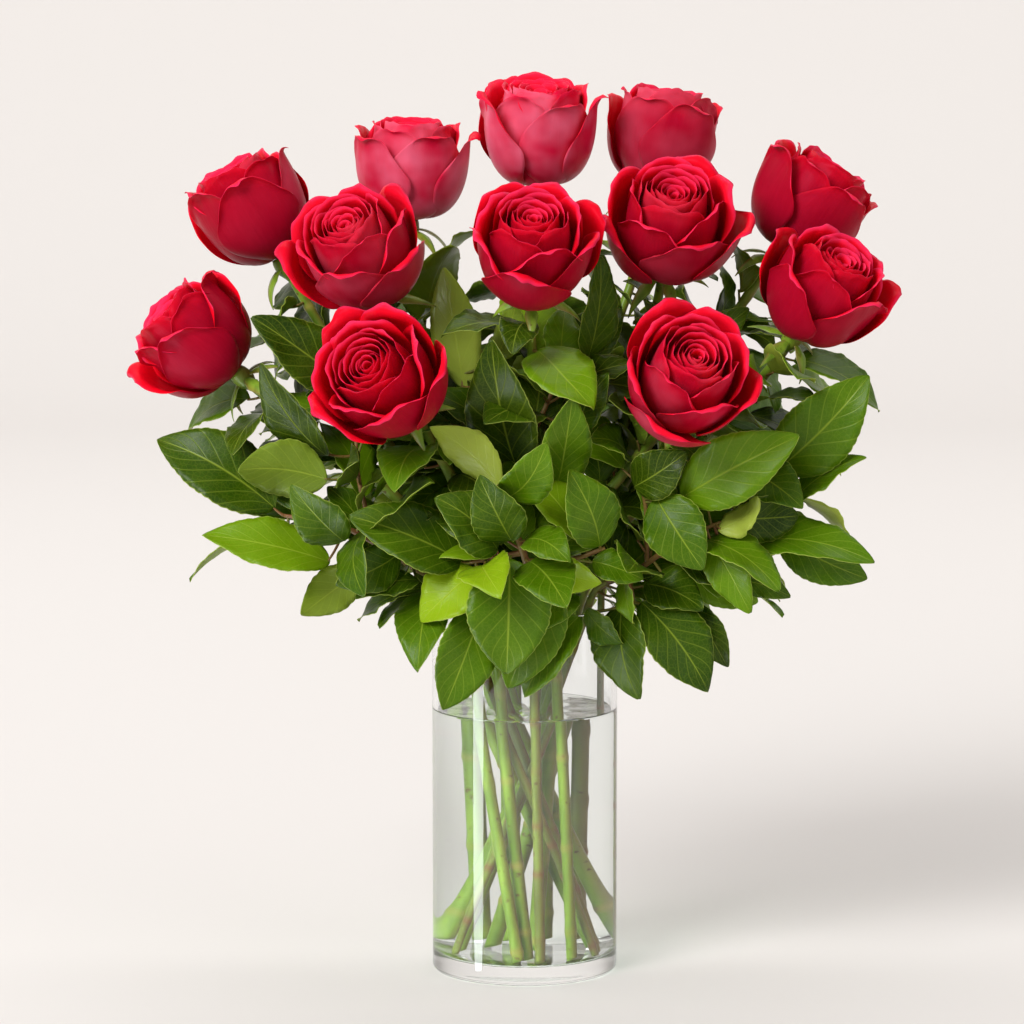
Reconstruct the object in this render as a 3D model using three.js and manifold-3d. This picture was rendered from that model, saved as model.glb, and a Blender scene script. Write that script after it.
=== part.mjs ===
// A dozen roses with broad-leaved foliage in a straight glass vase of water.
// Millimetres, +Z up, the middle of the vase's flat bottom at the origin, the front facing -Y.
import * as THREE from "three";
import Module from "manifold-3d";

const wasm = await Module();
wasm.setup();

// ---------------------------------------------------------------- driving dimensions
const GAP = 0.35; // clearance kept between two separate pieces
const SLIVER = 0.2; // detail smaller than this is smoothed away after pieces are fused
const VASE = { radius: 51, wall: 3, height: 203, floor: 10, corner: 3, sides: 30 };
const WATER_LEVEL = 145;
const MOUTH_LEVEL = 208; // the stems run straight up to here, just over the rim, and curve above it
const FOOT_LEVEL = VASE.floor + 0.35; // the lowest point of a cut stem end
const EYE = [-7, -2400, 561]; // the bouquet's front view is laid out from here
const PETAL_THICKNESS = 0.8;
const LEAF_THICKNESS = 0.8;
const PETALS_IN_ROSE = 27; // the full flower
const BUILT_PETALS = [26, 25, 24, 23, 22]; // those that carry its form
const HEART = [[0, 1.6], [17, 2.6], [20, 13], [18.5, 32], [15.5, 50], [0, 50]]; // its solid heart

// Each rose: where its petals start, the way it faces, how open it is, its size against a 77 mm
// flower, and its stem: foot and mouth positions (x, y) and the stem's radius.
const ROSES = [
  {
    at: [-156, -15, 332], facing: [-0.74, -0.15, 0.65],
    open: 0.7, size: 0.97, turn: 200,
    foot: [-3, -36], mouth: [-33, -28], stem: 3.1,
  },
  {
    at: [-134, 22, 391], facing: [-0.5, -0.05, 0.86],
    open: 0.5, size: 1.03, turn: 80,
    foot: [27, 9.8], mouth: [-38, 9.8], stem: 3.0,
  },
  {
    at: [-64, 56, 410], facing: [0.02, -0.1, 0.99],
    open: 0.25, size: 0.99, turn: 20,
    foot: [-13, 38], mouth: [-18, 37], stem: 2.9,
  },
  {
    at: [7, 58, 429], facing: [0.02, -0.22, 0.97],
    open: 0.25, size: 1.03, turn: 150,
    foot: [-4, 38], mouth: [-5, 38], stem: 3.0,
  },
  {
    at: [72, 76, 426], facing: [0.15, 0, 0.99],
    open: 0.35, size: 1.0, turn: 100,
    foot: [6, 38], mouth: [7, 38], stem: 2.9,
  },
  {
    at: [139, 17, 396], facing: [0.55, -0.05, 0.83],
    open: 0.5, size: 1.01, turn: 230,
    foot: [-26, 29.3], mouth: [30, 29.3], stem: 3.0,
  },
  {
    at: [75, -8, 389], facing: [0.08, -0.65, 0.76],
    open: 0.9, size: 1.07, turn: 10,
    foot: [-12, 16.3], mouth: [30, 16.3], stem: 3.0,
  },
  {
    at: [3, -58, 380], facing: [0.02, -0.62, 0.78],
    open: 0.9, size: 1.0, turn: 60,
    foot: [4, 3], mouth: [15, 3], stem: 3.0,
  },
  {
    at: [-80, -24, 377], facing: [-0.3, -0.62, 0.72],
    open: 0.8, size: 1.03, turn: 330,
    foot: [33, 22.8], mouth: [-24, 22.8], stem: 3.0,
  },
  {
    at: [-64, -71, 320], facing: [-0.35, -0.8, 0.48],
    open: 0.8, size: 1.04, turn: 120,
    foot: [1.5, -29], mouth: [-18, -29], stem: 3.1,
  },
  {
    at: [79, -64, 319], facing: [0.2, -0.8, 0.57],
    open: 1.0, size: 1.04, turn: 290,
    foot: [24, -32], mouth: [15, -33], stem: 3.0,
  },
  {
    at: [146, -27, 355], facing: [0.45, -0.45, 0.77],
    open: 0.8, size: 1.0, turn: 180,
    foot: [-29, -4], mouth: [31, -4], stem: 3.1,
  },
];

// Each foliage branch: foot and mouth (x, y), radius, the woody line above the mouth as points in
// the front view (x, z, depth), side twigs in the same way, and its leaves:
// [base x, z, depth, tip x, z, depth, half width, roll about its length in degrees, arch in mm].
const BRANCHES = {
  foliage_left: {
    foot: [36, -22], mouth: [-36, -22], stem: 2.2,
    line: [[-62, 224, -42], [-100, 246, -50], [-132, 252, -46]],
    twigs: [[[-84, 232, -48], [-92, 280, -40], [-90, 318, -34]]],
    leaves: [
      [-96, 322, -34, -149, 361, -48, 17, 15, 6],
      [-108, 285, -44, -144, 336, -58, 13, -45, 5],
      [-108, 272, -52, -157, 277, -64, 16, 150, 5],
      [-137, 256, -46, -201, 294, -34, 20, 10, 8],
      [-107, 226, -52, -177, 241, -62, 15, 20, 6],
      [-69, 231, -56, -104, 214, -72, 12, -20, 4],
      [-99, 238, -60, -128, 269, -76, 13, -30, 6],
      [-129, 238, -30, -184, 216, -20, 11, 75, 8],
      [-90, 222, -44, -123, 197, -50, 12, 160, 4],
      [-85, 232, -40, -108, 268, -34, 13, 30, 4],
      [-58, 216, -56, -93, 206, -68, 10, 30, 3],
      [-88, 262, -30, -120, 300, -10, 15, 20, 6],
      [-120, 250, -30, -170, 262, 8, 16, 30, 6],
    ],
  },
  foliage_front: {
    foot: [8, -38], mouth: [4, -40], stem: 2.6,
    line: [[2, 222, -62], [-6, 246, -78], [-14, 268, -84]],
    twigs: [[[2, 226, -66], [26, 228, -70], [44, 234, -72]], [[-2, 230, -70], [-30, 226, -66]]],
    leaves: [
      [-8, 228, -74, -10, 164, -78, 22, 0, 8],
      [-26, 222, -66, -57, 193, -70, 16, 20, 5],
      [-22, 206, -62, -45, 144, -66, 17, -25, 6],
      [16, 214, -66, -9, 156, -66, 17, -10, 7],
      [30, 196, -60, 0, 151, -61, 14, 25, 5],
      [-15, 233, -78, -49, 262, -92, 17, 15, 5],
      [-7, 238, -82, -25, 274, -98, 14, -20, 5],
      [41, 235, -74, 24, 277, -90, 15, 10, 5],
      [41, 238, -74, 90, 212, -84, 14, -15, 6],
      [14, 226, -72, 42, 215, -84, 9, 30, 3],
      [-14, 268, -84, -52, 301, -88, 12, 140, 5],
      [-34, 226, -62, -100, 240, -76, 19, -10, 7],
      [-10, 262, -84, 12, 292, -104, 13, 30, 6],
    ],
  },
  foliage_upper: {
    foot: [34, -11], mouth: [-27, -11], stem: 2.2,
    line: [[-12, 262, -36], [6, 300, -44], [20, 332, -36]],
    twigs: [[[-14, 256, -34], [-32, 300, -26], [-34, 330, -22]]],
    leaves: [
      [-4, 278, -50, -18, 349, -80, 19, -25, 8],
      [18, 270, -56, 26, 318, -84, 14, 20, 5],
      [12, 316, -48, -26, 336, -50, 12, 70, 4],
      [-33, 322, -24, -44, 388, -34, 13, 165, 5],
      [-16, 338, -30, -5, 368, -36, 10, 150, 4],
      [34, 338, -34, 41, 394, -44, 12, 15, 5],
      [30, 299, -48, 46, 330, -62, 11, -15, 4],
      [90, 345, -6, 122, 366, -8, 9, 10, 3],
      [-34, 300, -22, -64, 340, 10, 14, 20, 6],
      [24, 330, -30, 52, 366, 0, 13, 0, 5],
    ],
  },
  foliage_right: {
    foot: [-34, -16.5], mouth: [36, -16.5], stem: 2.0,
    line: [[62, 222, -38], [88, 240, -52], [112, 250, -56]],
    twigs: [[[66, 226, -42], [66, 258, -52], [60, 276, -50]], [[58, 216, -36], [60, 204, -54]]],
    leaves: [
      [64, 204, -56, 101, 154, -60, 18, -15, 6],
      [54, 204, -56, 63, 150, -62, 17, 15, 6],
      [92, 204, -40, 112, 168, -42, 9, 20, 3],
      [66, 214, -44, 98, 200, -56, 14, -20, 4],
      [34, 200, -56, 52, 178, -62, 9, 50, 3],
      [56, 222, -60, 60, 192, -72, 8, 60, 3],
      [72, 262, -60, 98, 222, -74, 16, 10, 5],
      [60, 268, -54, 86, 292, -64, 13, -20, 5],
      [102, 238, -58, 124, 198, -66, 11, 25, 4],
      [86, 262, -58, 150, 296, -74, 18, 10, 7],
      [106, 244, -60, 128, 262, -72, 9, 150, 3],
      [116, 216, -50, 146, 207, -54, 7, 10, 3],
      [112, 250, -50, 150, 252, -40, 13, 30, 5],
    ],
  },
  foliage_far_right: {
    foot: [42, 2], mouth: [42, 2], stem: 2.0,
    line: [[86, 232, -6], [120, 252, -22], [140, 276, -28]],
    twigs: [[[112, 246, -20], [136, 244, -32]]],
    leaves: [
      [138, 277, -30, 188, 329, -42, 19, 10, 7],
      [146, 258, -34, 187, 284, -46, 13, -20, 5],
      [124, 276, -36, 146, 246, -52, 13, 20, 5],
      [138, 242, -32, 188, 217, -30, 13, 15, 5],
      [116, 236, -36, 192, 226, -56, 16, -10, 7],
      [110, 262, -16, 150, 296, 16, 15, 10, 6],
      [96, 238, 0, 150, 246, 34, 15, 20, 6],
      [84, 226, 6, 128, 204, 20, 13, 10, 5],
    ],
  },
  foliage_back: {
    foot: [16, 37], mouth: [18, 37], stem: 2.4,
    line: [[14, 238, 66], [4, 284, 92], [6, 322, 100]],
    twigs: [
      [[12, 236, 64], [-46, 256, 78], [-92, 284, 72], [-120, 300, 56]],
      [[16, 230, 62], [62, 248, 78], [104, 280, 70], [128, 300, 56]],
      [[-30, 252, 76], [-44, 300, 84], [-40, 340, 84]],
      [[50, 246, 76], [52, 300, 92], [46, 342, 98]],
    ],
    leaves: [],
  },
};

// Leaves set by rule on a back branch: at every node of each line two leaves stand to either side.
const RULED = { length: 58, half: 17, spacing: 52, spread: 62 };

// A rose's own leaves stand on its stem at these shares of the way up, at these turns in degrees.
const OWN_LEAVES = [
  [],
  [[0.72, 100]],
  [[0.7, 60]],
  [[0.72, 90]],
  [[0.7, 40]],
  [[0.68, 20], [0.8, 80]],
  [[0.7, 60]],
  [],
  [[0.72, 120]],
  [],
  [],
  [[0.7, 60]],
];
const OWN_LEAF = { length: 46, half: 14 };

// Turns a leaf may take about its foot when its first place is taken: to the side, up, about
// its own length (degrees), and its size.
const WAYS = [
  [0, 0], [10, 0], [-10, 0], [0, 10], [0, -10], [18, 8], [-18, 8], [18, -10], [-18, -10], [30, 0], [-30, 0],
  [0, 24], [0, -24], [42, 12], [-42, 12], [42, -16], [-42, -16], [0, 40], [0, -40], [60, 0], [-60, 0],
];
const TURNS = [];
for (const size of [1, 0.85, 0.7, 0.55])
  for (const [side, up] of WAYS)
    for (const roll of [0, 25, -25]) TURNS.push({ side, up, roll, size });

// ---------------------------------------------------------------- small vector helpers
const add = (a, b, k = 1) => [a[0] + k * b[0], a[1] + k * b[1], a[2] + k * b[2]];
const sub = (a, b) => add(a, b, -1);
const scale = (a, k) => [a[0] * k, a[1] * k, a[2] * k];
const dot = (a, b) => a[0] * b[0] + a[1] * b[1] + a[2] * b[2];
const minor = (a, b, i, j) => a[i] * b[j] - a[j] * b[i];
const cross = (a, b) => [minor(a, b, 1, 2), minor(a, b, 2, 0), minor(a, b, 0, 1)];
const length = (a) => Math.sqrt(dot(a, a));
const unit = (a) => scale(a, 1 / length(a));
const mix = (a, b, t) => add(scale(a, 1 - t), b, t);
const rad = (degrees) => (degrees * Math.PI) / 180;

// A vector turned about a unit axis.
function turned(v, axis, degrees) {
  const c = Math.cos(rad(degrees));
  const s = Math.sin(rad(degrees));
  return add(add(scale(v, c), cross(axis, v), s), axis, dot(axis, v) * (1 - c));
}

// A number between -1 and 1 that is always the same for the same pair.
function chance(i, seed) {
  const x = Math.sin(i * 12.9898 + seed * 78.233) * 43758.5453;
  return 2 * (x - Math.floor(x)) - 1;
}

// The point at a depth (y) that covers the place (x, z) of the plane y = 0 in the front view.
function seen([x, z, depth]) {
  const k = (depth - EYE[1]) / (0 - EYE[1]);
  return [EYE[0] + (x - EYE[0]) * k, depth, EYE[2] + (z - EYE[2]) * k];
}

// ---------------------------------------------------------------- solids from points
function solid(points, triangles) {
  return new wasm.Manifold(
    new wasm.Mesh({
      numProp: 3,
      vertProperties: new Float32Array(points.flat()),
      triVerts: new Uint32Array(triangles.flat()),
    }),
  );
}

// A closed body from rows of points on its front face and rows on its back face. A row of one
// point closes an end to a tip. Both faces are split into triangles alike.
function thick(front, back) {
  const points = [];
  const id = [front, back].map((rows) => rows.map((row) => row.map((p) => points.push(p) - 1)));
  const triangles = [];
  const put = (a, b, c, flip) => triangles.push(flip ? [a, c, b] : [a, b, c]);
  for (const face of [0, 1]) {
    const rows = id[face];
    for (let r = 0; r + 1 < rows.length; r++) {
      const a = rows[r];
      const b = rows[r + 1];
      const cells = Math.max(a.length, b.length) - 1;
      for (let c = 0; c < cells; c++) {
        if (a.length === 1) put(a[0], b[c + 1], b[c], face === 1);
        else if (b.length === 1) put(a[c], a[c + 1], b[0], face === 1);
        else if ((r + c) % 2) {
          put(a[c], a[c + 1], b[c + 1], face === 1);
          put(a[c], b[c + 1], b[c], face === 1);
        } else {
          put(a[c], a[c + 1], b[c], face === 1);
          put(a[c + 1], b[c + 1], b[c], face === 1);
        }
      }
    }
  }
  // The outline runs along the first row, up one side, back over the last row, down the other.
  const outline = (rows) => {
    const right = rows.map((row) => row[row.length - 1]);
    const left = rows.map((row) => row[0]).reverse();
    const end = rows[rows.length - 1].slice(0, -1).reverse();
    const loop = [...rows[0], ...right.slice(1), ...end, ...left.slice(1)];
    return loop.filter((p, i) => p !== loop[(i + 1) % loop.length]);
  };
  const f = outline(id[0]);
  const b = outline(id[1]);
  for (let i = 0; i < f.length; i++) {
    const j = (i + 1) % f.length;
    triangles.push([f[i], b[i], b[j]], [f[i], b[j], f[j]]);
  }
  return solid(points, triangles);
}

// A body of revolution about Z from a profile [radius, z] that starts and ends on the axis.
function revolve(profile, sides) {
  const points = [];
  const rings = profile.map(([r, z]) => {
    if (r === 0) return [points.push([0, 0, z]) - 1];
    return Array.from({ length: sides }, (_, i) => {
      const a = (2 * Math.PI * (i + 0.5)) / sides;
      return points.push([r * Math.cos(a), r * Math.sin(a), z]) - 1;
    });
  });
  const triangles = [];
  for (let k = 0; k + 1 < rings.length; k++) {
    const lower = rings[k];
    const upper = rings[k + 1];
    for (let i = 0; i < sides; i++) {
      const j = (i + 1) % sides;
      if (lower.length === 1) triangles.push([lower[0], upper[j], upper[i]]);
      else if (upper.length === 1) triangles.push([lower[i], lower[j], upper[0]]);
      else triangles.push([lower[i], lower[j], upper[j]], [lower[i], upper[j], upper[i]]);
    }
  }
  return solid(points, triangles);
}

// A round rod along a line of points, its radius given at each. With a slant its first end is
// level but for the slope of a slanting cut.
function rod(line, radii, sides = 6, slant = 0) {
  const points = [];
  const rings = [];
  let across = unit(cross([0.13, 0.97, 0.2], sub(line[1], line[0])));
  for (let k = 0; k < line.length; k++) {
    const along = unit(sub(line[Math.min(k + 1, line.length - 1)], line[Math.max(k - 1, 0)]));
    across = unit(sub(across, scale(along, dot(across, along))));
    const other = cross(along, across);
    const ring = [];
    for (let i = 0; i < sides; i++) {
      const a = (2 * Math.PI * i) / sides;
      const out = add(scale(across, Math.cos(a)), other, Math.sin(a));
      const lift = k === 0 && slant ? slant * (1 + Math.cos(a)) - (out[2] * radii[0]) / along[2] : 0;
      ring.push(points.push(add(add(line[k], out, radii[k]), along, lift)) - 1);
    }
    rings.push(ring);
  }
  const triangles = [];
  for (let k = 0; k + 1 < rings.length; k++)
    for (let i = 0; i < sides; i++) {
      const j = (i + 1) % sides;
      triangles.push([rings[k][i], rings[k][j], rings[k + 1][j]]);
      triangles.push([rings[k][i], rings[k + 1][j], rings[k + 1][i]]);
    }
  const last = rings[rings.length - 1];
  for (let i = 1; i + 1 < sides; i++) {
    triangles.push([rings[0][0], rings[0][i + 1], rings[0][i]]);
    triangles.push([last[0], last[i], last[i + 1]]);
  }
  return solid(points, triangles);
}

// The union's largest body: a sealed hollow is filled, a loose scrap is dropped, and slivers
// left where faces cross are smoothed away.
function fused(pieces) {
  const parts = wasm.Manifold.union(pieces).decompose();
  return parts.reduce((best, part) => (part.volume() > best.volume() ? part : best)).simplify(SLIVER);
}

// ---------------------------------------------------------------- what stands where
const placed = []; // every piece set so far: its node, its solid and its box

function place(node, piece, blade = null) {
  placed.push({ node, piece, blade, box: piece.boundingBox() });
  return piece;
}

// Whether a piece keeps its gap to all pieces of other nodes, and its blade to its node's blades.
function isClear(node, piece, blade = null) {
  const box = piece.boundingBox();
  return placed.every((other) => {
    for (let k = 0; k < 3; k++)
      if (box.min[k] > other.box.max[k] + GAP || other.box.min[k] > box.max[k] + GAP) return true;
    if (other.node !== node) return piece.minGap(other.piece, 2 * GAP) >= GAP;
    return !(blade && other.blade) || blade.minGap(other.blade, 2 * GAP) >= GAP;
  });
}

// Prints what the pieces of a node touch, for the one who sets the dimensions.
function told(node, pieces) {
  pieces.forEach((piece, k) => {
    for (const other of placed)
      if (other.node !== node && piece.minGap(other.piece, 1) < GAP) {
        const common = piece.intersect(other.piece);
        const box = common.isEmpty() ? null : common.boundingBox();
        console.error(node, k, "touches", other.node, common.volume().toFixed(1), box?.min.map(Math.round));
      }
  });
}

// ---------------------------------------------------------------- stems
// A stem is straight from its foot to the mouth, then one smooth cubic up to its head.
function stemLine(foot, mouth, head, facing, steps) {
  const from = [...mouth, MOUTH_LEVEL];
  const start = unit(sub(from, [...foot, FOOT_LEVEL]));
  const reach = length(sub(head, from));
  const points = [[...foot, FOOT_LEVEL]];
  for (let i = 0; i <= steps; i++) {
    const t = i / steps;
    const a = add(scale(from, 1 + t * t * (2 * t - 3)), start, reach * 0.9 * t * (1 - t) * (1 - t));
    const b = add(scale(head, t * t * (3 - 2 * t)), facing, reach * 0.9 * t * t * (t - 1));
    points.push(add(a, b));
  }
  return points;
}

// The nearest point of a line to a place, a little short of the line's end, so that what grows
// there is sunk in it.
function nearest(lines, place) {
  let best = null;
  for (const line of lines)
    for (let i = 1; i + 1 < line.length; i++) {
      const step = sub(line[i + 1], line[i]);
      const most = 1 - 2 / length(step);
      const t = Math.min(most, Math.max(0, dot(sub(place, line[i]), step) / dot(step, step)));
      const point = add(line[i], step, t);
      const far = length(sub(place, point));
      if (!best || far < best.far) best = { far, point };
    }
  return best.point;
}

// ---------------------------------------------------------------- leaves
// A leaf is a petiole and an ovate blade in one strip: rows across it at set shares of its
// length, folded up along the midrib, arched over its length and waved at its edges. The first
// row is the strip's point at the root, the second the foot of the blade.
function leafRows(spec, rows) {
  const { root, base, tip, half, normal, arch, fold, wave } = spec;
  const along = unit(sub(tip, base));
  const side = unit(cross(along, normal));
  const up = cross(side, along);
  const faces = [[], []];
  const row = (centre, width, lift) => {
    [1, -1].forEach((face, k) => {
      const shift = (face * LEAF_THICKNESS) / 2;
      const rise = (u) => Math.abs(u) * width * fold + u * lift + shift;
      faces[k].push([-1, 0, 1].map((u) => add(add(centre, side, u * width), up, rise(u))));
    });
  };
  faces[0].push([add(root, up, LEAF_THICKNESS / 2)]);
  faces[1].push([add(root, up, -LEAF_THICKNESS / 2)]);
  row(base, 1.1, 0);
  for (const v of rows) {
    const centre = add(mix(base, tip, v), up, arch * 4 * v * (1 - v));
    row(centre, half * leafWidth(v), wave * Math.sin(9 * v + half));
  }
  faces[0].push([add(tip, up, LEAF_THICKNESS / 2)]);
  faces[1].push([add(tip, up, -LEAF_THICKNESS / 2)]);
  return faces;
}

// Half width of the blade as a share of its widest, at a share v of its length.
function leafWidth(v) {
  return Math.pow(Math.sin(Math.PI * Math.pow(v, 0.8)), 0.8);
}

// The leaf with its tip turned about its base by one of the allowed turns.
function leafTurned(spec, turn) {
  const along = unit(sub(spec.tip, spec.base));
  const side = unit(cross(along, spec.normal));
  const up = cross(side, along);
  let way = turned(turned(along, up, turn.side), side, turn.up);
  let normal = turned(turned(up, up, turn.side), side, turn.up);
  normal = turned(normal, unit(way), turn.roll);
  const tip = add(spec.base, way, length(sub(spec.tip, spec.base)) * turn.size);
  return { ...spec, tip, normal, half: spec.half * turn.size };
}

// Sets a leaf at its first turn that is clear. Its petiole is the strip's neck, or a small rod
// where the neck would fold flat or inside out.
function setLeaf(node, spec, rows, pieces, counts) {
  for (const turn of TURNS) {
    const [front, back] = leafRows(leafTurned(spec, turn), rows);
    const blade = thick(front.slice(1), back.slice(1));
    const neck = thick(front.slice(0, 2), back.slice(0, 2));
    const sound = neck.volume() > 0.1 * length(sub(spec.base, spec.root));
    const inBlade = add(spec.base, unit(sub(front[2][1], front[1][1])), 2);
    const leaf = sound ? thick(front, back) : blade.add(rod([spec.root, inBlade], [1, 1], 3));
    if (isClear(node, leaf, blade)) {
      pieces.push(place(node, leaf, blade));
      counts.set += 1;
      return;
    }
  }
  counts.lost += 1;
}

// The leaf's specification from its place in the front view, facing the viewer before its roll.
function seenLeaf(lines, [bx, bz, by, tx, tz, ty, half, roll, arch]) {
  const base = seen([bx, bz, by]);
  const tip = seen([tx, tz, ty]);
  const along = unit(sub(tip, base));
  const view = [0, -0.94, 0.34];
  const flat = unit(sub(view, scale(along, dot(view, along))));
  const normal = turned(flat, along, roll);
  return { root: nearest(lines, base), base, tip, half, normal, arch, fold: 0.22, wave: 1.2 };
}

// A leaf that stands on a line at a share of its length, turned about it and drooping a little.
function standingLeaf(point, along, turn, size) {
  const out = unit(turned(unit(cross(along, [0.02, 0.11, 1])), along, turn));
  const way = unit(add(add(scale(out, 0.86), along, 0.42), [0, 0, -0.12]));
  const base = add(point, out, 8);
  const tip = add(base, way, size.length);
  const up = unit(cross(cross(way, [0, 0, 1]), way));
  return { root: point, base, tip, half: size.half, normal: up, arch: 6, fold: 0.22, wave: 1.2 };
}

// ---------------------------------------------------------------- roses
// How one petal of a rose is cut and bent, from its number counted from the heart outward.
function petalShape(i, rose, index) {
  const t = (i + 0.5) / PETALS_IN_ROSE;
  const jog = (k) => chance(i + 31 * k, index + 1);
  const { size, open } = rose;
  const outer = Math.max(0, (t - 0.55) / 0.45); // how far into the outer whorl
  const belly = (3.4 + 26.5 * Math.pow(t, 0.85)) * size;
  const spread = (3.5 + 5 * open) * Math.pow(outer, 1.5);
  const rim = (1.8 + 27.5 * t + spread + 0.9 * t * jog(1)) * size;
  const drop = (2 + 13 * open) * Math.pow(outer, 1.4);
  const height = (51 + 3 * Math.sin(Math.PI * t) - drop + 1.1 * jog(2)) * size;
  const curve = [
    [2.5, 2.2],
    [belly * 0.98, 2.5 - 3.5 * t],
    [belly * (1.1 + 0.1 * open * t), height * 0.52],
    [rim, height],
  ];
  let body = 0;
  for (let k = 0; k < 16; k++) {
    const [a] = onCurve(curve, k / 16);
    const [b] = onCurve(curve, (k + 1) / 16);
    body += Math.hypot(b[0] - a[0], b[1] - a[1]);
  }
  const lip = (1 + 4 * t) * size;
  const curl = 0.45 + 0.55 * t + outer;
  const long = body + lip * curl;
  const slope = 50 - 12 * outer * Math.abs(jog(6));
  return {
    curve,
    body,
    lip,
    long,
    slope,
    half: (9 + 30 * t * (1 - 0.4 * t)) * size * (1 + 0.06 * jog(3)),
    fold: long * Math.sin(rad(slope)) * (1 + 0.6 * Math.max(0, 0.7 - t) - 0.06 * outer * (1 + open)),
    roll: (2.8 + 2.4 * t) * size,
    soft: 5 * t * size,
    wrap: 1.02 + 0.06 * t,
    wave: 0.9 * t + 1.3 * outer,
    drop: 0.05 + 0.24 * outer,
    narrow: 0.46 + 0.2 * t,
    phase: 3 * jog(4),
    turn: rose.turn + i * 137.5 + 7 * jog(5),
  };
}

// A point of a cubic curve in the plane of radius and height, and its tangent.
function onCurve([a, b, c, d], s) {
  const q = 1 - s;
  const at = (k) => q * q * q * a[k] + 3 * q * q * s * b[k] + 3 * q * s * s * c[k] + s * s * s * d[k];
  const go = (k) => 3 * (q * q * (b[k] - a[k]) + 2 * q * s * (c[k] - b[k]) + s * s * (d[k] - c[k]));
  return [[at(0), at(1)], [go(0), go(1)]];
}

// Radius, height and outward direction at a length up the petal: the cubic, then the lip, which
// is an arc that turns outward.
function meridian(p, y) {
  const [at, go] = onCurve(p.curve, Math.min(y / p.body, 1));
  const size = Math.hypot(go[0], go[1]);
  const up = [go[0] / size, go[1] / size];
  const out = [up[1], -up[0]];
  const bend = Math.max(0, y - p.body) / p.lip;
  const [rise, run] = [p.lip * Math.sin(bend), p.lip * (1 - Math.cos(bend))];
  return {
    r: at[0] + rise * up[0] + run * out[0],
    z: at[1] + rise * up[1] + run * out[1],
    out: [0, 1].map((k) => Math.cos(bend) * out[k] - Math.sin(bend) * up[k]),
  };
}

// A point of the petal: u runs across it from -1 to 1, v from its foot to its rim, and the
// third number is how far the point stands off the petal's middle surface, outward.
function petalPoint(p, u, v, off) {
  const wide = p.half * Math.pow(Math.sin(Math.PI * (0.06 + p.narrow * v)), 1.15);
  const x = u * Math.min(wide, 2.6 * meridian(p, p.long * v).r * p.wrap);
  let y = p.long * v * (1 - p.drop * Math.pow(Math.abs(u), 1.9) * v);
  let across = Math.abs(x);
  let back = 0;
  const near = Math.hypot(x, p.soft);
  const past = (near - p.soft) * Math.cos(rad(p.slope)) + y * Math.sin(rad(p.slope)) - p.fold;
  if (past > 0) {
    const bend = Math.min(past / p.roll, 2.5);
    const lost = past - p.roll * Math.sin(bend);
    back = p.roll * (1 - Math.cos(bend));
    across = Math.max(0, across - (lost * Math.cos(rad(p.slope)) * across) / near);
    y -= lost * Math.sin(rad(p.slope));
  }
  const { r, z, out } = meridian(p, y);
  const ring = Math.max(r * p.wrap, 1.5);
  const angle = across / ring;
  const ripple = p.wave * v * v * v * Math.sin(3.1 * u + p.phase);
  const lift = back + off + ripple + 0.04 * r * u - ring * (1 - Math.cos(angle));
  const radius = r + out[0] * lift;
  const sideways = Math.sign(x) * ring * Math.sin(angle);
  const c = Math.cos(rad(p.turn));
  const w = Math.sin(rad(p.turn));
  return [c * radius - w * sideways, w * radius + c * sideways, z + out[1] * lift];
}

// The frame of a rose: its own axis and two directions across it.
function roseFrame(rose) {
  const axis = unit(rose.facing);
  const across = unit(cross([0, 1, 0.01], axis));
  const other = cross(axis, across);
  return (p) => add(add(add(rose.at, across, p[0]), other, p[1]), axis, p[2]);
}

function makeRose(rose, index) {
  const toWorld = roseFrame(rose);
  const pieces = [];
  for (const i of BUILT_PETALS) {
    const p = petalShape(i, rose, index);
    const across = (v, off) => [-1, -0.36, 0.36, 1].map((u) => toWorld(petalPoint(p, u, v, off)));
    const rows = i > 23 ? [0.18, 0.5, 0.84, 1] : [0.18, 0.6, 1];
    const face = (off) => rows.map((v) => across(v, off));
    pieces.push(thick(face(PETAL_THICKNESS / 2), face(-PETAL_THICKNESS / 2)));
  }
  const s = rose.size;
  const heart = revolve(HEART.map(([r, z]) => [r * s, z * s]), 6).warp((p) => {
    const moved = toWorld([p[0], p[1], p[2]]);
    for (let k = 0; k < 3; k++) p[k] = moved[k];
  });
  pieces.push(heart);
  return pieces;
}

// The five sepals, which hang from the cup clear of the petals.
function makeSepals(rose, index) {
  const toWorld = roseFrame(rose);
  const sepals = [0, 1, 2, 3, 4].map((k) => {
    const shape = sepalShape(k, rose, index);
    const across = (v, off) => [-1, 1].map((u) => toWorld(sepalPoint(shape, u, v, off)));
    const rows = (off) => [across(0, off), across(0.35, off)];
    const tip = (off) => [toWorld(sepalPoint(shape, 0, 1, off))];
    return thick([...rows(0.4), tip(0.4)], [...rows(-0.4), tip(-0.4)]);
  });
  return sepals;
}

// A sepal leaves the cup and hangs down and out along one quarter of an arc.
function sepalShape(k, rose, index) {
  const jog = chance(k + 7, index + 3);
  const droop = 62 + 24 * chance(k + 11, index + 5);
  return { turn: rose.turn + 72 * k + 10 * jog, long: 27 + 6 * jog, droop, half: 3.6 };
}

function sepalPoint(s, u, v, off) {
  const bend = rad(s.droop) * v;
  const turn = rad(s.turn);
  const reach = 3.5 + (s.long * Math.sin(bend)) / rad(s.droop);
  const z = -4.5 - (s.long * (1 - Math.cos(bend))) / rad(s.droop) - off;
  const sideways = u * (v < 0.35 ? 1.2 + ((s.half - 1.2) * v) / 0.35 : (s.half * (1 - v)) / 0.65);
  const [c, w] = [Math.cos(turn), Math.sin(turn)];
  return [c * reach - w * sideways, w * reach + c * sideways, z];
}

// ---------------------------------------------------------------- the whole
const group = new THREE.Group();

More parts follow.
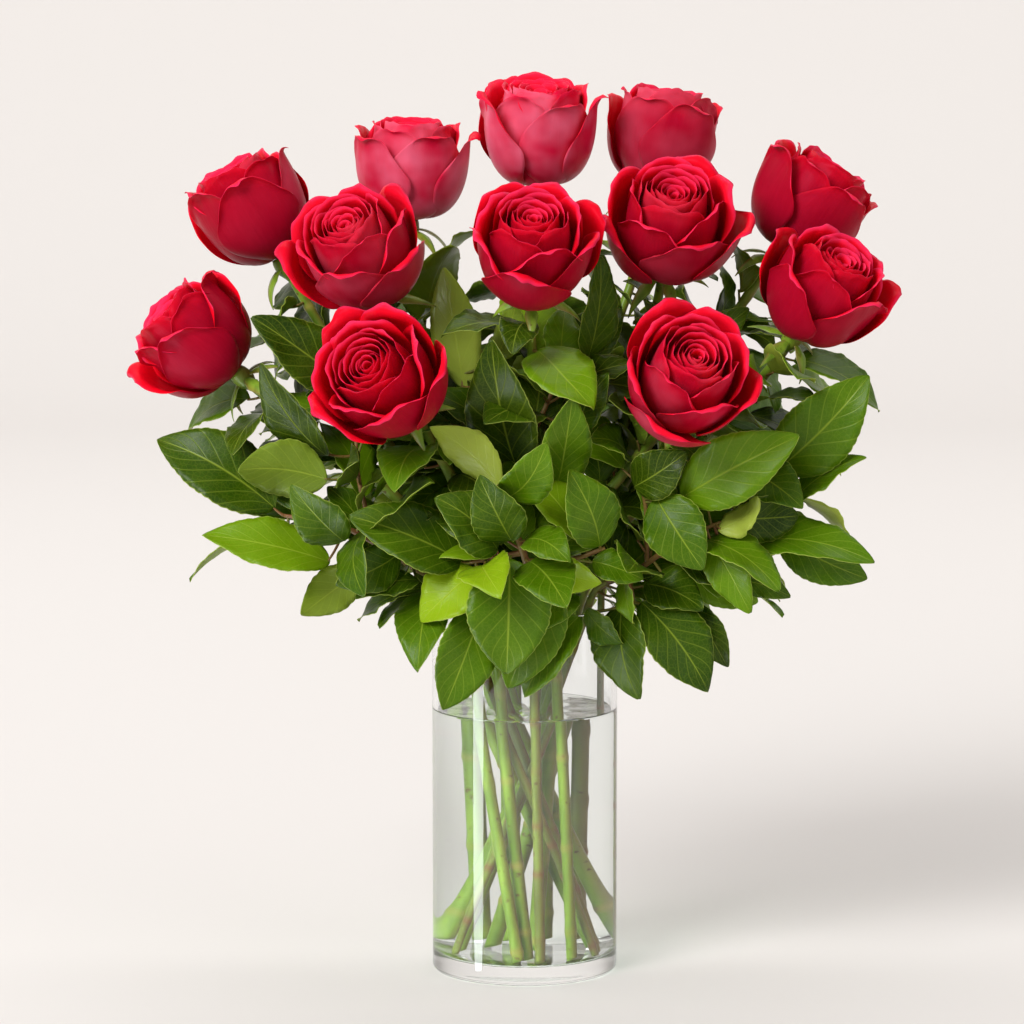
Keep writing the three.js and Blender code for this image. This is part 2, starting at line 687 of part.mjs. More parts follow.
function addNode(name, body, color, roughness, more = {}) {
  const mesh = body.getMesh();
  const count = mesh.vertProperties.length / mesh.numProp;
  const positions = new Float32Array(3 * count);
  for (let i = 0; i < count; i++)
    for (let k = 0; k < 3; k++) positions[3 * i + k] = mesh.vertProperties[mesh.numProp * i + k];
  const geometry = new THREE.BufferGeometry();
  geometry.setAttribute("position", new THREE.BufferAttribute(positions, 3));
  geometry.setIndex(new THREE.BufferAttribute(mesh.triVerts, 1));
  geometry.computeVertexNormals();
  const material = new THREE.MeshStandardMaterial({ color, roughness, metalness: 0, ...more });
  const node = new THREE.Mesh(geometry, material);
  node.name = name;
  group.add(node);
}

// The vase: straight wall, thick base, softened corners.
const inner = VASE.radius - VASE.wall;
const vase = place(
  "vase",
  revolve(
    [
      [0, 0],
      [VASE.radius - VASE.corner, 0],
      [VASE.radius, VASE.corner],
      [VASE.radius, VASE.height - 0.9],
      [VASE.radius - 0.9, VASE.height],
      [inner + 0.9, VASE.height],
      [inner, VASE.height - 0.9],
      [inner, VASE.floor + 4],
      [inner - 4, VASE.floor],
      [0, VASE.floor],
    ],
    VASE.sides,
  ),
);
addNode("vase", vase, 0xeef4f4, 0.03, { transparent: true, opacity: 0.35 });

// The roses, then their stems.
const name = (i) => String(i + 1).padStart(2, "0");
ROSES.forEach((rose, i) => {
  const node = "rose_" + name(i);
  const pieces = makeRose(rose, i);
  for (const piece of pieces) place(node, piece);
  told(node, pieces);
  rose.body = fused(pieces);
});
const holes = [];
ROSES.forEach((rose, i) => {
  rose.facing = unit(rose.facing);
  const head = add(rose.at, rose.facing, -12);
  rose.line = stemLine(rose.foot, rose.mouth, head, rose.facing, 5);
  const under = HEART[0][1] * rose.size - GAP - 0.05;
  const cup = [add(rose.at, rose.facing, -6.5), add(rose.at, rose.facing, under)];
  const radii = rose.line.map((_, k) => (k > 4 ? rose.stem * 0.88 : rose.stem));
  const node = "rose_stem_" + name(i);
  const sepals = makeSepals(rose, i);
  rose.green = [rod([...rose.line, ...cup], [...radii, 5.6, 5.2], 6, 1.1)];
  for (const sepal of sepals) {
    if (isClear(node, sepal)) rose.green.push(sepal);
    else console.error(node, "sepal left out");
  }
  for (const piece of rose.green) place(node, piece);
  told(node, rose.green);
  holes.push({ foot: rose.foot, mouth: rose.mouth, radius: rose.stem, sides: 6 });
});

// The woody lines of the foliage.
for (const [node, branch] of Object.entries(BRANCHES)) {
  const points = branch.line.map(seen);
  const first = [[...branch.foot, FOOT_LEVEL], [...branch.mouth, MOUTH_LEVEL], ...points];
  const radii = first.map((_, k) => branch.stem * (k < 2 ? 1 : 1 - 0.2 * (k - 1)));
  branch.pieces = [rod(first, radii, 5, 0.8)];
  branch.lines = [first.slice(1)];
  branch.lines[0].unshift(first[1]);
  for (const twig of branch.twigs) {
    const line = twig.map(seen);
    line[0] = nearest(branch.lines, line[0]);
    branch.pieces.push(rod(line, line.map((_, k) => branch.stem * (0.7 - 0.12 * k)), 5));
    branch.lines.push([line[0], ...line]);
  }
  for (const piece of branch.pieces) place(node, piece);
  told(node, branch.pieces);
  holes.push({ foot: branch.foot, mouth: branch.mouth, radius: branch.stem, sides: 5 });
}

// The leaves, the ones at the front first.
const counts = { set: 0, lost: 0 };
for (const [node, branch] of Object.entries(BRANCHES))
  for (const leaf of branch.leaves)
    setLeaf(node, seenLeaf(branch.lines, leaf), [0.4, 0.78], branch.pieces, counts);
for (const [node, branch] of Object.entries(BRANCHES)) {
  if (branch.leaves.length) continue;
  for (const line of branch.lines) {
    let from = 12;
    for (let k = 1; k + 1 < line.length; k++) {
      const long = length(sub(line[k + 1], line[k]));
      const along = unit(sub(line[k + 1], line[k]));
      for (; from < long; from += RULED.spacing)
        for (const way of [RULED.spread, -RULED.spread]) {
          const spec = standingLeaf(add(line[k], along, from), along, way, RULED);
          setLeaf(node, spec, [0.5], branch.pieces, counts);
        }
      from -= long;
    }
  }
}
ROSES.forEach((rose, i) => {
  for (const [share, turn] of OWN_LEAVES[i]) {
    const k = 1 + Math.round(share * 5);
    const along = unit(sub(rose.line[k], rose.line[k - 1]));
    const spec = standingLeaf(rose.line[k], along, turn, OWN_LEAF);
    setLeaf("rose_stem_" + name(i), spec, [0.5], rose.green, counts);
  }
});
console.error(counts);

// The water, with a plain hole for each stem.
const gap = 0.3;
const full = revolve(
  [
    [0, VASE.floor + gap],
    [inner - 4 - gap / 2, VASE.floor + gap],
    [inner - gap, VASE.floor + 4 + gap / 2],
    [inner - gap, WATER_LEVEL],
    [0, WATER_LEVEL],
  ],
  VASE.sides,
);
const cuts = holes.map(({ foot, mouth, radius, sides }) => {
  const low = [...foot, FOOT_LEVEL];
  const high = [...mouth, MOUTH_LEVEL];
  const wide = radius + 0.45;
  return rod([mix(low, high, -0.06), mix(low, high, 0.9)], [wide, wide], sides);
});
const water = full.subtract(wasm.Manifold.union(cuts));
addNode("water", water, 0xe6f0ee, 0.02, { transparent: true, opacity: 0.3 });

ROSES.forEach((rose, i) => {
  addNode("rose_" + name(i), rose.body, 0xc40426, 0.6);
  addNode("rose_stem_" + name(i), fused(rose.green), 0x6f9440, 0.6);
});
for (const [node, branch] of Object.entries(BRANCHES))
  addNode(node, fused(branch.pieces), 0x4c7a1c, 0.5);

export default group;
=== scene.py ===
# %% [markdown]
# # A dozen roses in a glass vase
# Each of them is replaced below by a fine piece that keeps its form and place. Numpy does the
# shaping, because a petal or a leaf is one formula over a grid of points. The script works in
# millimetres, and turns them into Blender's metres when a mesh is made.

# %% load the frame
import math

import bpy
import numpy as np
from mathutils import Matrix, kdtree


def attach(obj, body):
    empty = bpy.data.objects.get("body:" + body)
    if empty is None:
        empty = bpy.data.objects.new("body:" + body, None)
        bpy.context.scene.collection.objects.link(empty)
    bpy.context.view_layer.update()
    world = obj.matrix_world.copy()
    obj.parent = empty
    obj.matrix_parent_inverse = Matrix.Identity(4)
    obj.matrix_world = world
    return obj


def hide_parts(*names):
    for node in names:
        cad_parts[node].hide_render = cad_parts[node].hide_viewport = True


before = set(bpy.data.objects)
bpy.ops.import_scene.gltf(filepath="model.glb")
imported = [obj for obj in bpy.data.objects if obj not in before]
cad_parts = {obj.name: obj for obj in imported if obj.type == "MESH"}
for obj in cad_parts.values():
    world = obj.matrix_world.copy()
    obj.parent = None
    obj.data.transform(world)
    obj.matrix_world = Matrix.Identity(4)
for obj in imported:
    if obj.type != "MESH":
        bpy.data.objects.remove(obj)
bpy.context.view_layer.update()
MM = 0.001

# %% [markdown]
# ## Sizes and places
# A florist's cylinder 102 mm across sets the scale. Each rose has the place its petals start from,
# the way it faces, how open it is, its size against a 77 mm flower, and the foot and mouth its stem
# runs through. All of it is in millimetres and equals the solid model's own dimensions.

# %% vase, water and roses in numbers
VASE = {"radius": 51, "wall": 3, "height": 203, "floor": 10, "corner": 3, "rim": 1.2, "inside": 4}
WATER_LEVEL = 145
MOUTH_LEVEL = 208  # stems are straight up to here, just above the rim
FOOT_LEVEL = VASE["floor"] + 0.35
EYE = np.array([-7.0, -2400.0, 561.0])  # where the camera stands
PETALS_IN_ROSE = 27
ROSES = [
    # at, facing, open, size, turn, foot, mouth, stem radius
    ([-156, -15, 332], [-0.74, -0.15, 0.65], 0.7, 0.97, 200, [-3, -36], [-33, -28], 3.1),
    ([-134, 22, 391], [-0.5, -0.05, 0.86], 0.5, 1.03, 80, [27, 9.8], [-38, 9.8], 3.0),
    ([-64, 56, 410], [0.02, -0.1, 0.99], 0.25, 0.99, 20, [-13, 38], [-18, 37], 2.9),
    ([7, 58, 429], [0.02, -0.22, 0.97], 0.25, 1.03, 150, [-4, 38], [-5, 38], 3.0),
    ([72, 76, 426], [0.15, 0, 0.99], 0.35, 1.0, 100, [6, 38], [7, 38], 2.9),
    ([139, 17, 396], [0.55, -0.05, 0.83], 0.5, 1.01, 230, [-26, 29.3], [30, 29.3], 3.0),
    ([75, -8, 389], [0.08, -0.65, 0.76], 0.9, 1.07, 10, [-12, 16.3], [30, 16.3], 3.0),
    ([3, -58, 380], [0.02, -0.62, 0.78], 0.9, 1.0, 60, [4, 3], [15, 3], 3.0),
    ([-80, -24, 377], [-0.3, -0.62, 0.72], 0.8, 1.03, 330, [33, 22.8], [-24, 22.8], 3.0),
    ([-64, -71, 320], [-0.35, -0.8, 0.48], 0.8, 1.04, 120, [1.5, -29], [-18, -29], 3.1),
    ([79, -64, 319], [0.2, -0.8, 0.57], 1.0, 1.04, 290, [24, -32], [15, -33], 3.0),
    ([146, -27, 355], [0.45, -0.45, 0.77], 0.8, 1.0, 180, [-29, -4], [31, -4], 3.1),
]
KEYS = ("at", "facing", "open", "size", "turn", "foot", "mouth", "stem")
ROSES = [dict(zip(KEYS, row)) for row in ROSES]
# how pink each rose's outer face is: partly its own paler colour, partly painted sheen on the roses that
# face the light
PINK_AND_SHEEN = {2: 0.35, 3: 0.85, 4: 0.95, 5: 0.5, 7: 0.35, 9: 0.45, 11: 0.5}  # how pink the outside is
for number, rose in enumerate(ROSES, 1):
    rose["pink"] = PINK_AND_SHEEN.get(number, 0.2)
# each rose stem's own leaves: how far along its curve, and the turn about it in degrees
OWN_LEAVES = [[], [[0.72, 100]], [[0.7, 60]], [[0.72, 90]], [[0.7, 40]], [[0.68, 20], [0.8, 80]],
              [[0.7, 60]], [], [[0.72, 120]], [], [], [[0.7, 60]]]
print(len(ROSES), "roses")

# %% [markdown]
# ### Branches
# Six branches of a broad-leaved shrub stand among the roses. A branch has the foot and mouth of its
# straight part, a main line, side twigs, and the large leaves that give the bouquet its outline. They
# are laid out as the front view shows them, because that is where the eye compares them.

# %% foliage in numbers
# A leaf is [base x, z, depth, tip x, z, depth, half width, roll, arch], laid out in the front view.
BRANCHES = {
    "foliage_left": dict(foot=[36, -22], mouth=[-36, -22], stem=2.2,
        line=[[-62, 224, -42], [-100, 246, -50], [-132, 252, -46]],
        twigs=[[[-84, 232, -48], [-92, 280, -40], [-90, 318, -34]]],
        leaves=[
            [-96, 322, -34, -149, 361, -48, 17, 15, 6], [-108, 285, -44, -144, 336, -58, 13, -45, 5],
            [-108, 272, -52, -157, 277, -64, 16, 150, 5], [-137, 256, -46, -201, 294, -34, 20, 10, 8],
            [-107, 226, -52, -177, 241, -62, 15, 20, 6], [-69, 231, -56, -104, 214, -72, 12, -20, 4],
            [-99, 238, -60, -128, 269, -76, 13, -30, 6], [-129, 238, -30, -184, 216, -20, 11, 75, 8],
            [-90, 222, -44, -123, 197, -50, 12, 160, 4], [-85, 232, -40, -108, 268, -34, 13, 30, 4],
            [-58, 216, -56, -93, 206, -68, 10, 30, 3], [-88, 262, -30, -120, 300, -10, 15, 20, 6],
            [-120, 250, -30, -170, 262, 8, 16, 30, 6]]),
    "foliage_front": dict(foot=[8, -38], mouth=[4, -40], stem=2.6,
        line=[[2, 222, -62], [-6, 246, -78], [-14, 268, -84]],
        twigs=[[[2, 226, -66], [26, 228, -70], [44, 234, -72]], [[-2, 230, -70], [-30, 226, -66]]],
        leaves=[
            [-8, 228, -74, -10, 164, -78, 22, 0, 8], [-26, 222, -66, -57, 193, -70, 16, 20, 5],
            [-22, 206, -62, -45, 144, -66, 17, -25, 6], [16, 214, -66, -9, 156, -66, 17, -10, 7],
            [30, 196, -60, 0, 151, -61, 14, 25, 5], [-15, 233, -78, -49, 262, -92, 17, 15, 5],
            [-7, 238, -82, -25, 274, -98, 14, -20, 5], [41, 235, -74, 24, 277, -90, 15, 10, 5],
            [41, 238, -74, 90, 212, -84, 14, -15, 6], [14, 226, -72, 42, 215, -84, 9, 30, 3],
            [-14, 268, -84, -52, 301, -88, 12, 140, 5], [-34, 226, -62, -100, 240, -76, 19, -10, 7],
            [-10, 262, -84, 12, 292, -104, 13, 30, 6]]),
    "foliage_upper": dict(foot=[34, -11], mouth=[-27, -11], stem=2.2,
        line=[[-12, 262, -36], [6, 300, -44], [20, 332, -36]],
        twigs=[[[-14, 256, -34], [-32, 300, -26], [-34, 330, -22]]],
        leaves=[
            [-4, 278, -50, -18, 349, -80, 19, -25, 8], [18, 270, -56, 26, 318, -84, 14, 20, 5],
            [12, 316, -48, -26, 336, -50, 12, 70, 4], [-33, 322, -24, -44, 388, -34, 13, 165, 5],
            [-16, 338, -30, -5, 368, -36, 10, 150, 4], [34, 338, -34, 41, 394, -44, 12, 15, 5],
            [30, 299, -48, 46, 330, -62, 11, -15, 4], [90, 345, -6, 122, 366, -8, 9, 10, 3],
            [-34, 300, -22, -64, 340, 10, 14, 20, 6], [24, 330, -30, 52, 366, 0, 13, 0, 5]]),
    "foliage_right": dict(foot=[-34, -16.5], mouth=[36, -16.5], stem=2.0,
        line=[[62, 222, -38], [88, 240, -52], [112, 250, -56]],
        twigs=[[[66, 226, -42], [66, 258, -52], [60, 276, -50]], [[58, 216, -36], [60, 204, -54]]],
        leaves=[
            [64, 204, -56, 101, 154, -60, 18, -15, 6], [54, 204, -56, 63, 150, -62, 17, 15, 6],
            [92, 204, -40, 112, 168, -42, 9, 20, 3], [66, 214, -44, 98, 200, -56, 14, -20, 4],
            [34, 200, -56, 52, 178, -62, 9, 50, 3], [56, 222, -60, 60, 192, -72, 8, 60, 3],
            [72, 262, -60, 98, 222, -74, 16, 10, 5], [60, 268, -54, 86, 292, -64, 13, -20, 5],
            [102, 238, -58, 124, 198, -66, 11, 25, 4], [86, 262, -58, 150, 296, -74, 18, 10, 7],
            [106, 244, -60, 128, 262, -72, 9, 150, 3], [116, 216, -50, 146, 207, -54, 7, 10, 3],
            [112, 250, -50, 150, 252, -40, 13, 30, 5]]),
    "foliage_far_right": dict(foot=[42, 2], mouth=[42, 2], stem=2.0,
        line=[[86, 232, -6], [120, 252, -22], [140, 276, -28]],
        twigs=[[[112, 246, -20], [136, 244, -32]]],
        leaves=[
            [138, 277, -30, 188, 329, -42, 19, 10, 7], [146, 258, -34, 187, 284, -46, 13, -20, 5],
            [124, 276, -36, 146, 246, -52, 13, 20, 5], [138, 242, -32, 188, 217, -30, 13, 15, 5],
            [116, 236, -36, 192, 226, -56, 16, -10, 7], [110, 262, -16, 150, 296, 16, 15, 10, 6],
            [96, 238, 0, 150, 246, 34, 15, 20, 6], [84, 226, 6, 128, 204, 20, 13, 10, 5]]),
    "foliage_back": dict(foot=[16, 37], mouth=[18, 37], stem=2.4,
        line=[[14, 238, 66], [4, 284, 92], [6, 322, 100]],
        twigs=[[[12, 236, 64], [-46, 256, 78], [-92, 284, 72], [-120, 300, 56]],
               [[16, 230, 62], [62, 248, 78], [104, 280, 70], [128, 300, 56]],
               [[-30, 252, 76], [-44, 300, 84], [-40, 340, 84]],
               [[50, 246, 76], [52, 300, 92], [46, 342, 98]]],
        leaves=[]),
}
# the leaves of a branch that has no list, and those on the rose stems
RULED = {"length": 58, "half": 17, "spacing": 52, "spread": 62}
OWN_LEAF = {"length": 46, "half": 14}
# the turns, in degrees to the side and up, by which the solid model bends a leaf clear of others
WAYS = [[0, 0], [10, 0], [-10, 0], [0, 10], [0, -10], [18, 8], [-18, 8], [18, -10], [-18, -10],
        [30, 0], [-30, 0], [0, 24], [0, -24], [42, 12], [-42, 12], [42, -16], [-42, -16],
        [0, 40], [0, -40], [60, 0], [-60, 0]]
TURNS = [(side, up, roll, size) for size in (1, 0.85, 0.7, 0.55) for side, up in WAYS
         for roll in (0, 25, -25)]
print(len(BRANCHES), "branches,", sum(len(b["leaves"]) for b in BRANCHES.values()), "listed leaves")

# %% [markdown]
# ## Small tools
# Directions are plain numpy triples. A thin sheet, petal or blade, is a grid of points with a front
# and a back skin joined round the rim, so that it is a closed body. Each point also carries four
# numbers for its material: place across, place along, which skin, and a tone of its own.

# %% vectors
def unit(a):
    """a at length one."""
    a = np.asarray(a, float)
    return a / np.linalg.norm(a)


def turned(v, axis, degrees):
    """v turned about a unit axis: the part across the axis goes round by the angle."""
    c, s = math.cos(math.radians(degrees)), math.sin(math.radians(degrees))
    return v * c + np.cross(axis, v) * s + axis * np.dot(axis, v) * (1 - c)


def chance(i, seed):
    """A number from -1 to 1 that is always the same for the same pair: the far digits of a sine."""
    x = math.sin(i * 12.9898 + seed * 78.233) * 43758.5453
    return 2 * (x - math.floor(x)) - 1


def seen(p):
    """The point at depth p[2] that covers the place (p[0], p[1]) of the plane y = 0 in the front view."""
    x, z, depth = p
    k = (depth - EYE[1]) / (0 - EYE[1])
    return np.array([EYE[0] + (x - EYE[0]) * k, depth, EYE[2] + (z - EYE[2]) * k])


# %% pieces
def show(name, data, material):
    """Finished mesh data with its material, as an object in the scene."""
    data.materials.append(material)
    obj = bpy.data.objects.new(name, data)
    bpy.context.scene.collection.objects.link(obj)
    return obj


def as_piece(obj, node):
    """The object rides on the root, and stands for its CAD node where it has one."""
    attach(obj, "root")
    if node:
        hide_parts(node)
    return obj


def listed_mesh(name, points, faces):
    """Smooth mesh data from a list of points in metres and a list of faces."""
    data = bpy.data.meshes.new(name)
    data.from_pydata(points, [], faces)
    data.polygons.foreach_set("use_smooth", np.ones(len(faces), bool))
    data.update()
    return data


class Parts:
    """Gathers points, faces and the four form numbers of several bodies into one mesh."""

    def __init__(self):
        self.points, self.faces, self.form, self.count = [], [], [], 0

    def add(self, points, faces, form):
        """Takes in one body; its faces count on from the points already there."""
        self.points.append(points)
        self.form.append(form)
        self.faces.append(faces + self.count)
        self.count += len(points)

    def mesh(self, name, material, node, slot):
        """The gathered bodies as one piece of the scene."""
        points = np.vstack(self.points) * MM
        faces = np.vstack(self.faces)
        data = bpy.data.meshes.new(name)
        data.vertices.add(len(points))
        data.vertices.foreach_set("co", points.astype(np.float32).ravel())
        data.loops.add(faces.size)
        data.loops.foreach_set("vertex_index", faces.astype(np.int32).ravel())
        data.polygons.add(len(faces))
        data.polygons.foreach_set("loop_start", np.arange(0, faces.size, 4, dtype=np.int32))
        data.polygons.foreach_set("use_smooth", np.ones(len(faces), bool))
        data.update(calc_edges=True)
        data.validate()
        form = data.attributes.new("form", "FLOAT_COLOR", "POINT")
        form.data.foreach_set("color", np.vstack(self.form).astype(np.float32).ravel())
        return as_piece(show(name, data, material), node)


# %% sheets, rods and turned bodies
def grid_faces(rows, cols, flip=False):
    """The four-cornered faces of a grid of rows by cols points.

    A flipped face starts at the same corner, so that both skins of a thin sheet are cut into triangles
    along the same diagonal and don't cross where the sheet is waved."""
    i = np.arange(rows * cols).reshape(rows, cols)
    q = np.stack([i[:-1, :-1], i[:-1, 1:], i[1:, 1:], i[1:, :-1]], -1).reshape(-1, 4)
    return q[:, [0, 3, 2, 1]] if flip else q


def normals_of(p):
    """The unit normals of a grid of points, from its differences along and across."""
    n = np.cross(np.gradient(p, axis=1), np.gradient(p, axis=0))
    return n / np.maximum(np.linalg.norm(n, axis=2, keepdims=True), 1e-9)


def add_sheet(parts, middle, half_thick, u, v, tone):
    """A sheet round its middle grid: each skin stands off along the normal by half its thickness."""
    rows, cols, _ = middle.shape
    normal = normals_of(middle)
    off = normal * half_thick[..., None]
    skins = np.stack([middle + off, middle - off])
    front = grid_faces(rows, cols)
    back = grid_faces(rows, cols, True) + rows * cols
    i = np.arange(rows * cols).reshape(rows, cols)
    rim = np.concatenate([i[0, :-1], i[:-1, -1], i[-1, :0:-1], i[:0:-1, 0]])
    nxt = np.roll(rim, -1)
    side = np.stack([rim, rim + rows * cols, nxt + rows * cols, nxt], -1)
    form = np.empty((2, rows, cols, 4))
    form[..., 0], form[..., 1] = u * 0.5 + 0.5, v
    form[0, ..., 2], form[1, ..., 2] = 0.0, 1.0
    form[..., 3] = tone
    parts.add(skins.reshape(-1, 3), np.vstack([front, back, side]), form.reshape(-1, 4))


def add_rod(parts, line, radii, sides=12, tone=0.5, level_cut=0.0):
    """A round rod along a line: rings in planes carried along without twist, closed at both ends."""
    line = np.asarray(line, float)
    n = len(line)
    along = np.gradient(line, axis=0)
    along /= np.linalg.norm(along, axis=1, keepdims=True)
    across = unit(np.cross([0.13, 0.97, 0.2], along[0]))
    angle = np.linspace(0, 2 * np.pi, sides, endpoint=False)
    rings = np.empty((n, sides, 3))
    for k in range(n):
        across = unit(across - along[k] * np.dot(across, along[k]))
        other = np.cross(along[k], across)
        out = np.cos(angle)[:, None] * across + np.sin(angle)[:, None] * other
        rings[k] = line[k] + out * radii[k]
        if k == 0 and level_cut:
            lift = level_cut * (1 + np.cos(angle)) - out[:, 2] * radii[0] / along[0][2]
            rings[k] += lift[:, None] * along[0]
    rings = np.concatenate([rings[:1].mean(1, keepdims=True).repeat(sides, 1), rings,
                            rings[-1:].mean(1, keepdims=True).repeat(sides, 1)])
    i = np.arange((n + 2) * sides).reshape(n + 2, sides)
    j = np.roll(i, -1, axis=1)
    faces = np.stack([i[:-1], j[:-1], j[1:], i[1:]], -1).reshape(-1, 4)
    share = np.concatenate([[0], np.linspace(0, 1, n), [1]])
    form = np.empty((n + 2, sides, 4))
    form[..., 0] = 0.5 + 0.5 * np.cos(angle)
    form[..., 1] = share[:, None]
    form[..., 2] = np.where(np.arange(n + 2) == 0, 1.0, 0.0)[:, None]
    tone = np.broadcast_to(tone, n)
    form[..., 3] = np.concatenate([tone[:1], tone, tone[-1:]])[:, None]
    parts.add(rings.reshape(-1, 3), faces, form.reshape(-1, 4))


def turned_body(name, profile, material, node, sides=144):
    """A body of revolution from (radius, z) points; both ends of the profile lie on the axis."""
    profile = np.asarray(profile, float)
    angle = np.linspace(0, 2 * np.pi, sides, endpoint=False)
    ring = np.stack([np.cos(angle), np.sin(angle)], -1)
    middle = profile[1:-1]
    heights = np.broadcast_to(middle[:, None, 1:], (len(middle), sides, 1))
    points = np.concatenate([middle[:, None, :1] * ring, heights], -1)
    points = np.vstack([points.reshape(-1, 3), [0, 0, profile[0, 1]], [0, 0, profile[-1, 1]]])
    i = np.arange(len(middle) * sides).reshape(-1, sides)
    j = np.roll(i, -1, axis=1)
    quads = np.stack([i[:-1], j[:-1], j[1:], i[1:]], -1).reshape(-1, 4).tolist()
    low, high = len(points) - 2, len(points) - 1
    fans = [[low, int(j[0, k]), int(i[0, k])] for k in range(sides)]
    fans += [[high, int(i[-1, k]), int(j[-1, k])] for k in range(sides)]
    data = listed_mesh(name, (points * MM).tolist(), quads + fans)
    return as_piece(show(name, data, material), node)


# %% [markdown]
# ## Finishes
# A material is a short chain of nodes. One helper adds a node, sets it and links others into it.
# Colours are given as they look on a screen and turned to linear light by one function. The scale of
# a pattern comes from its size on the real thing, in millimetres.

# %% material helpers
def linear(code):
    """A screen colour such as "C40426" as linear red, green, blue and 1."""
    c = [int(code[k:k + 2], 16) / 255 for k in (0, 2, 4)]
    return [x / 12.92 if x <= 0.04045 else ((x + 0.055) / 1.055) ** 2.4 for x in c] + [1.0]


def every(mm):
    """The scale, in whole repeats a metre, of a pattern that repeats about every so many millimetres."""
    return round(1 / (mm * MM))


def make_material(name):
    """An empty material, and the function that adds nodes to it."""
    m = bpy.data.materials.new(name)
    m.use_nodes = True
    m.node_tree.nodes.clear()

    def add(kind, *values, stops=(), **named):
        """Adds a node and sets its settings by their names, then its sockets.

        Values without a name go to the open sockets in order, others to the socket of that name, with _
        for a space. A node is linked by its first open output, an output socket by itself. Stops are the
        places and screen colours of a colour ramp."""
        node = m.node_tree.nodes.new("ShaderNode" + kind)
        for key in [key for key in named if hasattr(node, key)]:
            setattr(node, key, named.pop(key))
        pairs = list(zip([socket for socket in node.inputs if socket.enabled], values))
        pairs += [(node.inputs[key.replace("_", " ")], value) for key, value in named.items()]
        for socket, value in pairs:
            if isinstance(value, bpy.types.Node):
                value = next(output for output in value.outputs if output.enabled)
            if isinstance(value, bpy.types.NodeSocket):
                m.node_tree.links.new(value, socket)
            else:
                socket.default_value = value
        while stops and len(node.color_ramp.elements) < len(stops):
            node.color_ramp.elements.new(0.5)
        for k, (place, code) in enumerate(stops):
            node.color_ramp.elements[k].position = place
            node.color_ramp.elements[k].color = linear(code)
        return node

    return m, add


def form_numbers(add):
    """The four numbers that every mesh point carries: across, along, back skin or cut, and tone."""
    form = add("Attribute", attribute_name="form")
    split = add("SeparateColor", form)
    return [split.outputs[name] for name in ("Red", "Green", "Blue")] + [form.outputs["Alpha"]]


RGBA = {"data_type": "RGBA"}
TIMES = {"operation": "MULTIPLY"}
LINE = {"operation": "MULTIPLY_ADD", "use_clamp": True}  # first times second plus third, kept in 0 to 1

# %% [markdown]
# ### Petals
# A red rose petal is velvet: its inner face is covered in tiny cones that darken it at a straight
# look and glow at its edge, which is what sheen gives. The outer face is smoother and shows fine
# veins that fan up from the foot. On the roses seen from outside it is pinker, partly its own paler
# colour and partly painted sheen on the roses that face the light, with pale patches of painted
# sheen. On those roses the inner face is painted brighter as well, a painted light. The rim is paler
# and pinker, partly where the petal is thinnest and partly a painted highlight. A little subsurface
# lets light come through.

# %% petal material
def petal_material():
    """Red inside, deeper to paler pink outside with painted sheen, a rim partly painted highlight, veins
    along the petal and cloudy darker places.
    """
    m, add = make_material("velvety red petal")
    u, v, back, tone = form_numbers(add)
    where = add("TexCoord").outputs["Object"]
    # the pale pink at the rim is partly the thin edge's own colour and partly a painted highlight
    inner = add("ValToRGB", v, stops=[(0.0, "4A0006"), (0.4, "C20010"), (0.8, "F40016"),
                                      (0.95, "F00A24"), (1.0, "F63060")])
    # painted light: the inner face is made brighter red on roses whose tone is high, the ones that take the
    # light
    painted_light_inner = add("Math", tone, 1.0, -0.25, **LINE)
    face = add("Mix", painted_light_inner, inner, linear("FF1C3C"), **RGBA)
    # the outer skin: pinker on a rose whose tone is high, partly its own colour and partly painted sheen
    # on the roses that face the light, and paler still in patches of 26 mm of painted sheen
    outer = add("ValToRGB", v, stops=[(0.0, "B8A060"), (0.10, "901428"), (0.45, "980824"),
                                      (0.85, "A20622"), (1.0, "C80822")])
    pink = add("Math", tone, 1.6, -0.5, **LINE)
    skin = add("Mix", add("Math", pink, 0.9, **TIMES), outer, linear("E01844"), **RGBA)
    # painted sheen: pale pink patches of 26 mm on the pinker roses stand in for soft highlights on the outer
    # face
    patch = add("TexNoise", where, Scale=every(26.3), Detail=2.0)
    painted_sheen_patches = add("Math", patch, 3.4, -1.25, **LINE)
    paler = add("Math", add("Math", pink, painted_sheen_patches, **TIMES), 0.62, **TIMES)
    skin = add("Mix", paler, skin, linear("FF8CAC"), **RGBA)
    base = add("Mix", back, face, skin, **RGBA)
    # veins: noise drawn out along the petal, 46 steps across it and 5 up it, so about 1.3 mm apart
    across, along = add("Math", u, 46.0, **TIMES), add("Math", v, 5.0, **TIMES)
    spot = add("CombineXYZ", across, along, add("Math", tone, 40.0, **TIMES))
    vein = add("TexNoise", spot, Scale=1.0, Detail=3.0, Roughness=0.6)
    streak = add("Math", vein, 1.6, -0.3, **LINE)
    base = add("Mix", add("Math", streak, 0.13, **TIMES), base, linear("F0284A"), **RGBA)
    # cloudy darker places of 17 mm
    cloud = add("TexNoise", where, Scale=every(16.7), Detail=3.0)
    shade = add("Math", cloud, 0.9, -0.25, **LINE)
    base = add("Mix", shade, base, add("Mix", 0.55, base, linear("6A0010"), **RGBA), **RGBA)
    bump = add("Bump", Strength=0.28, Distance=0.0004, Height=vein)
    shader = add("BsdfPrincipled", Base_Color=base, Normal=bump, Roughness=0.36, Specular_IOR_Level=0.08,
                 Specular_Tint=linear("FF8CB8"), Sheen_Weight=0.06, Sheen_Roughness=0.25,
                 Sheen_Tint=linear("FF2858"), Subsurface_Weight=0.1, Subsurface_Scale=0.003,
                 Subsurface_Radius=(1.0, 0.12, 0.1))
    add("OutputMaterial", shader)
    return m


PETAL = petal_material()

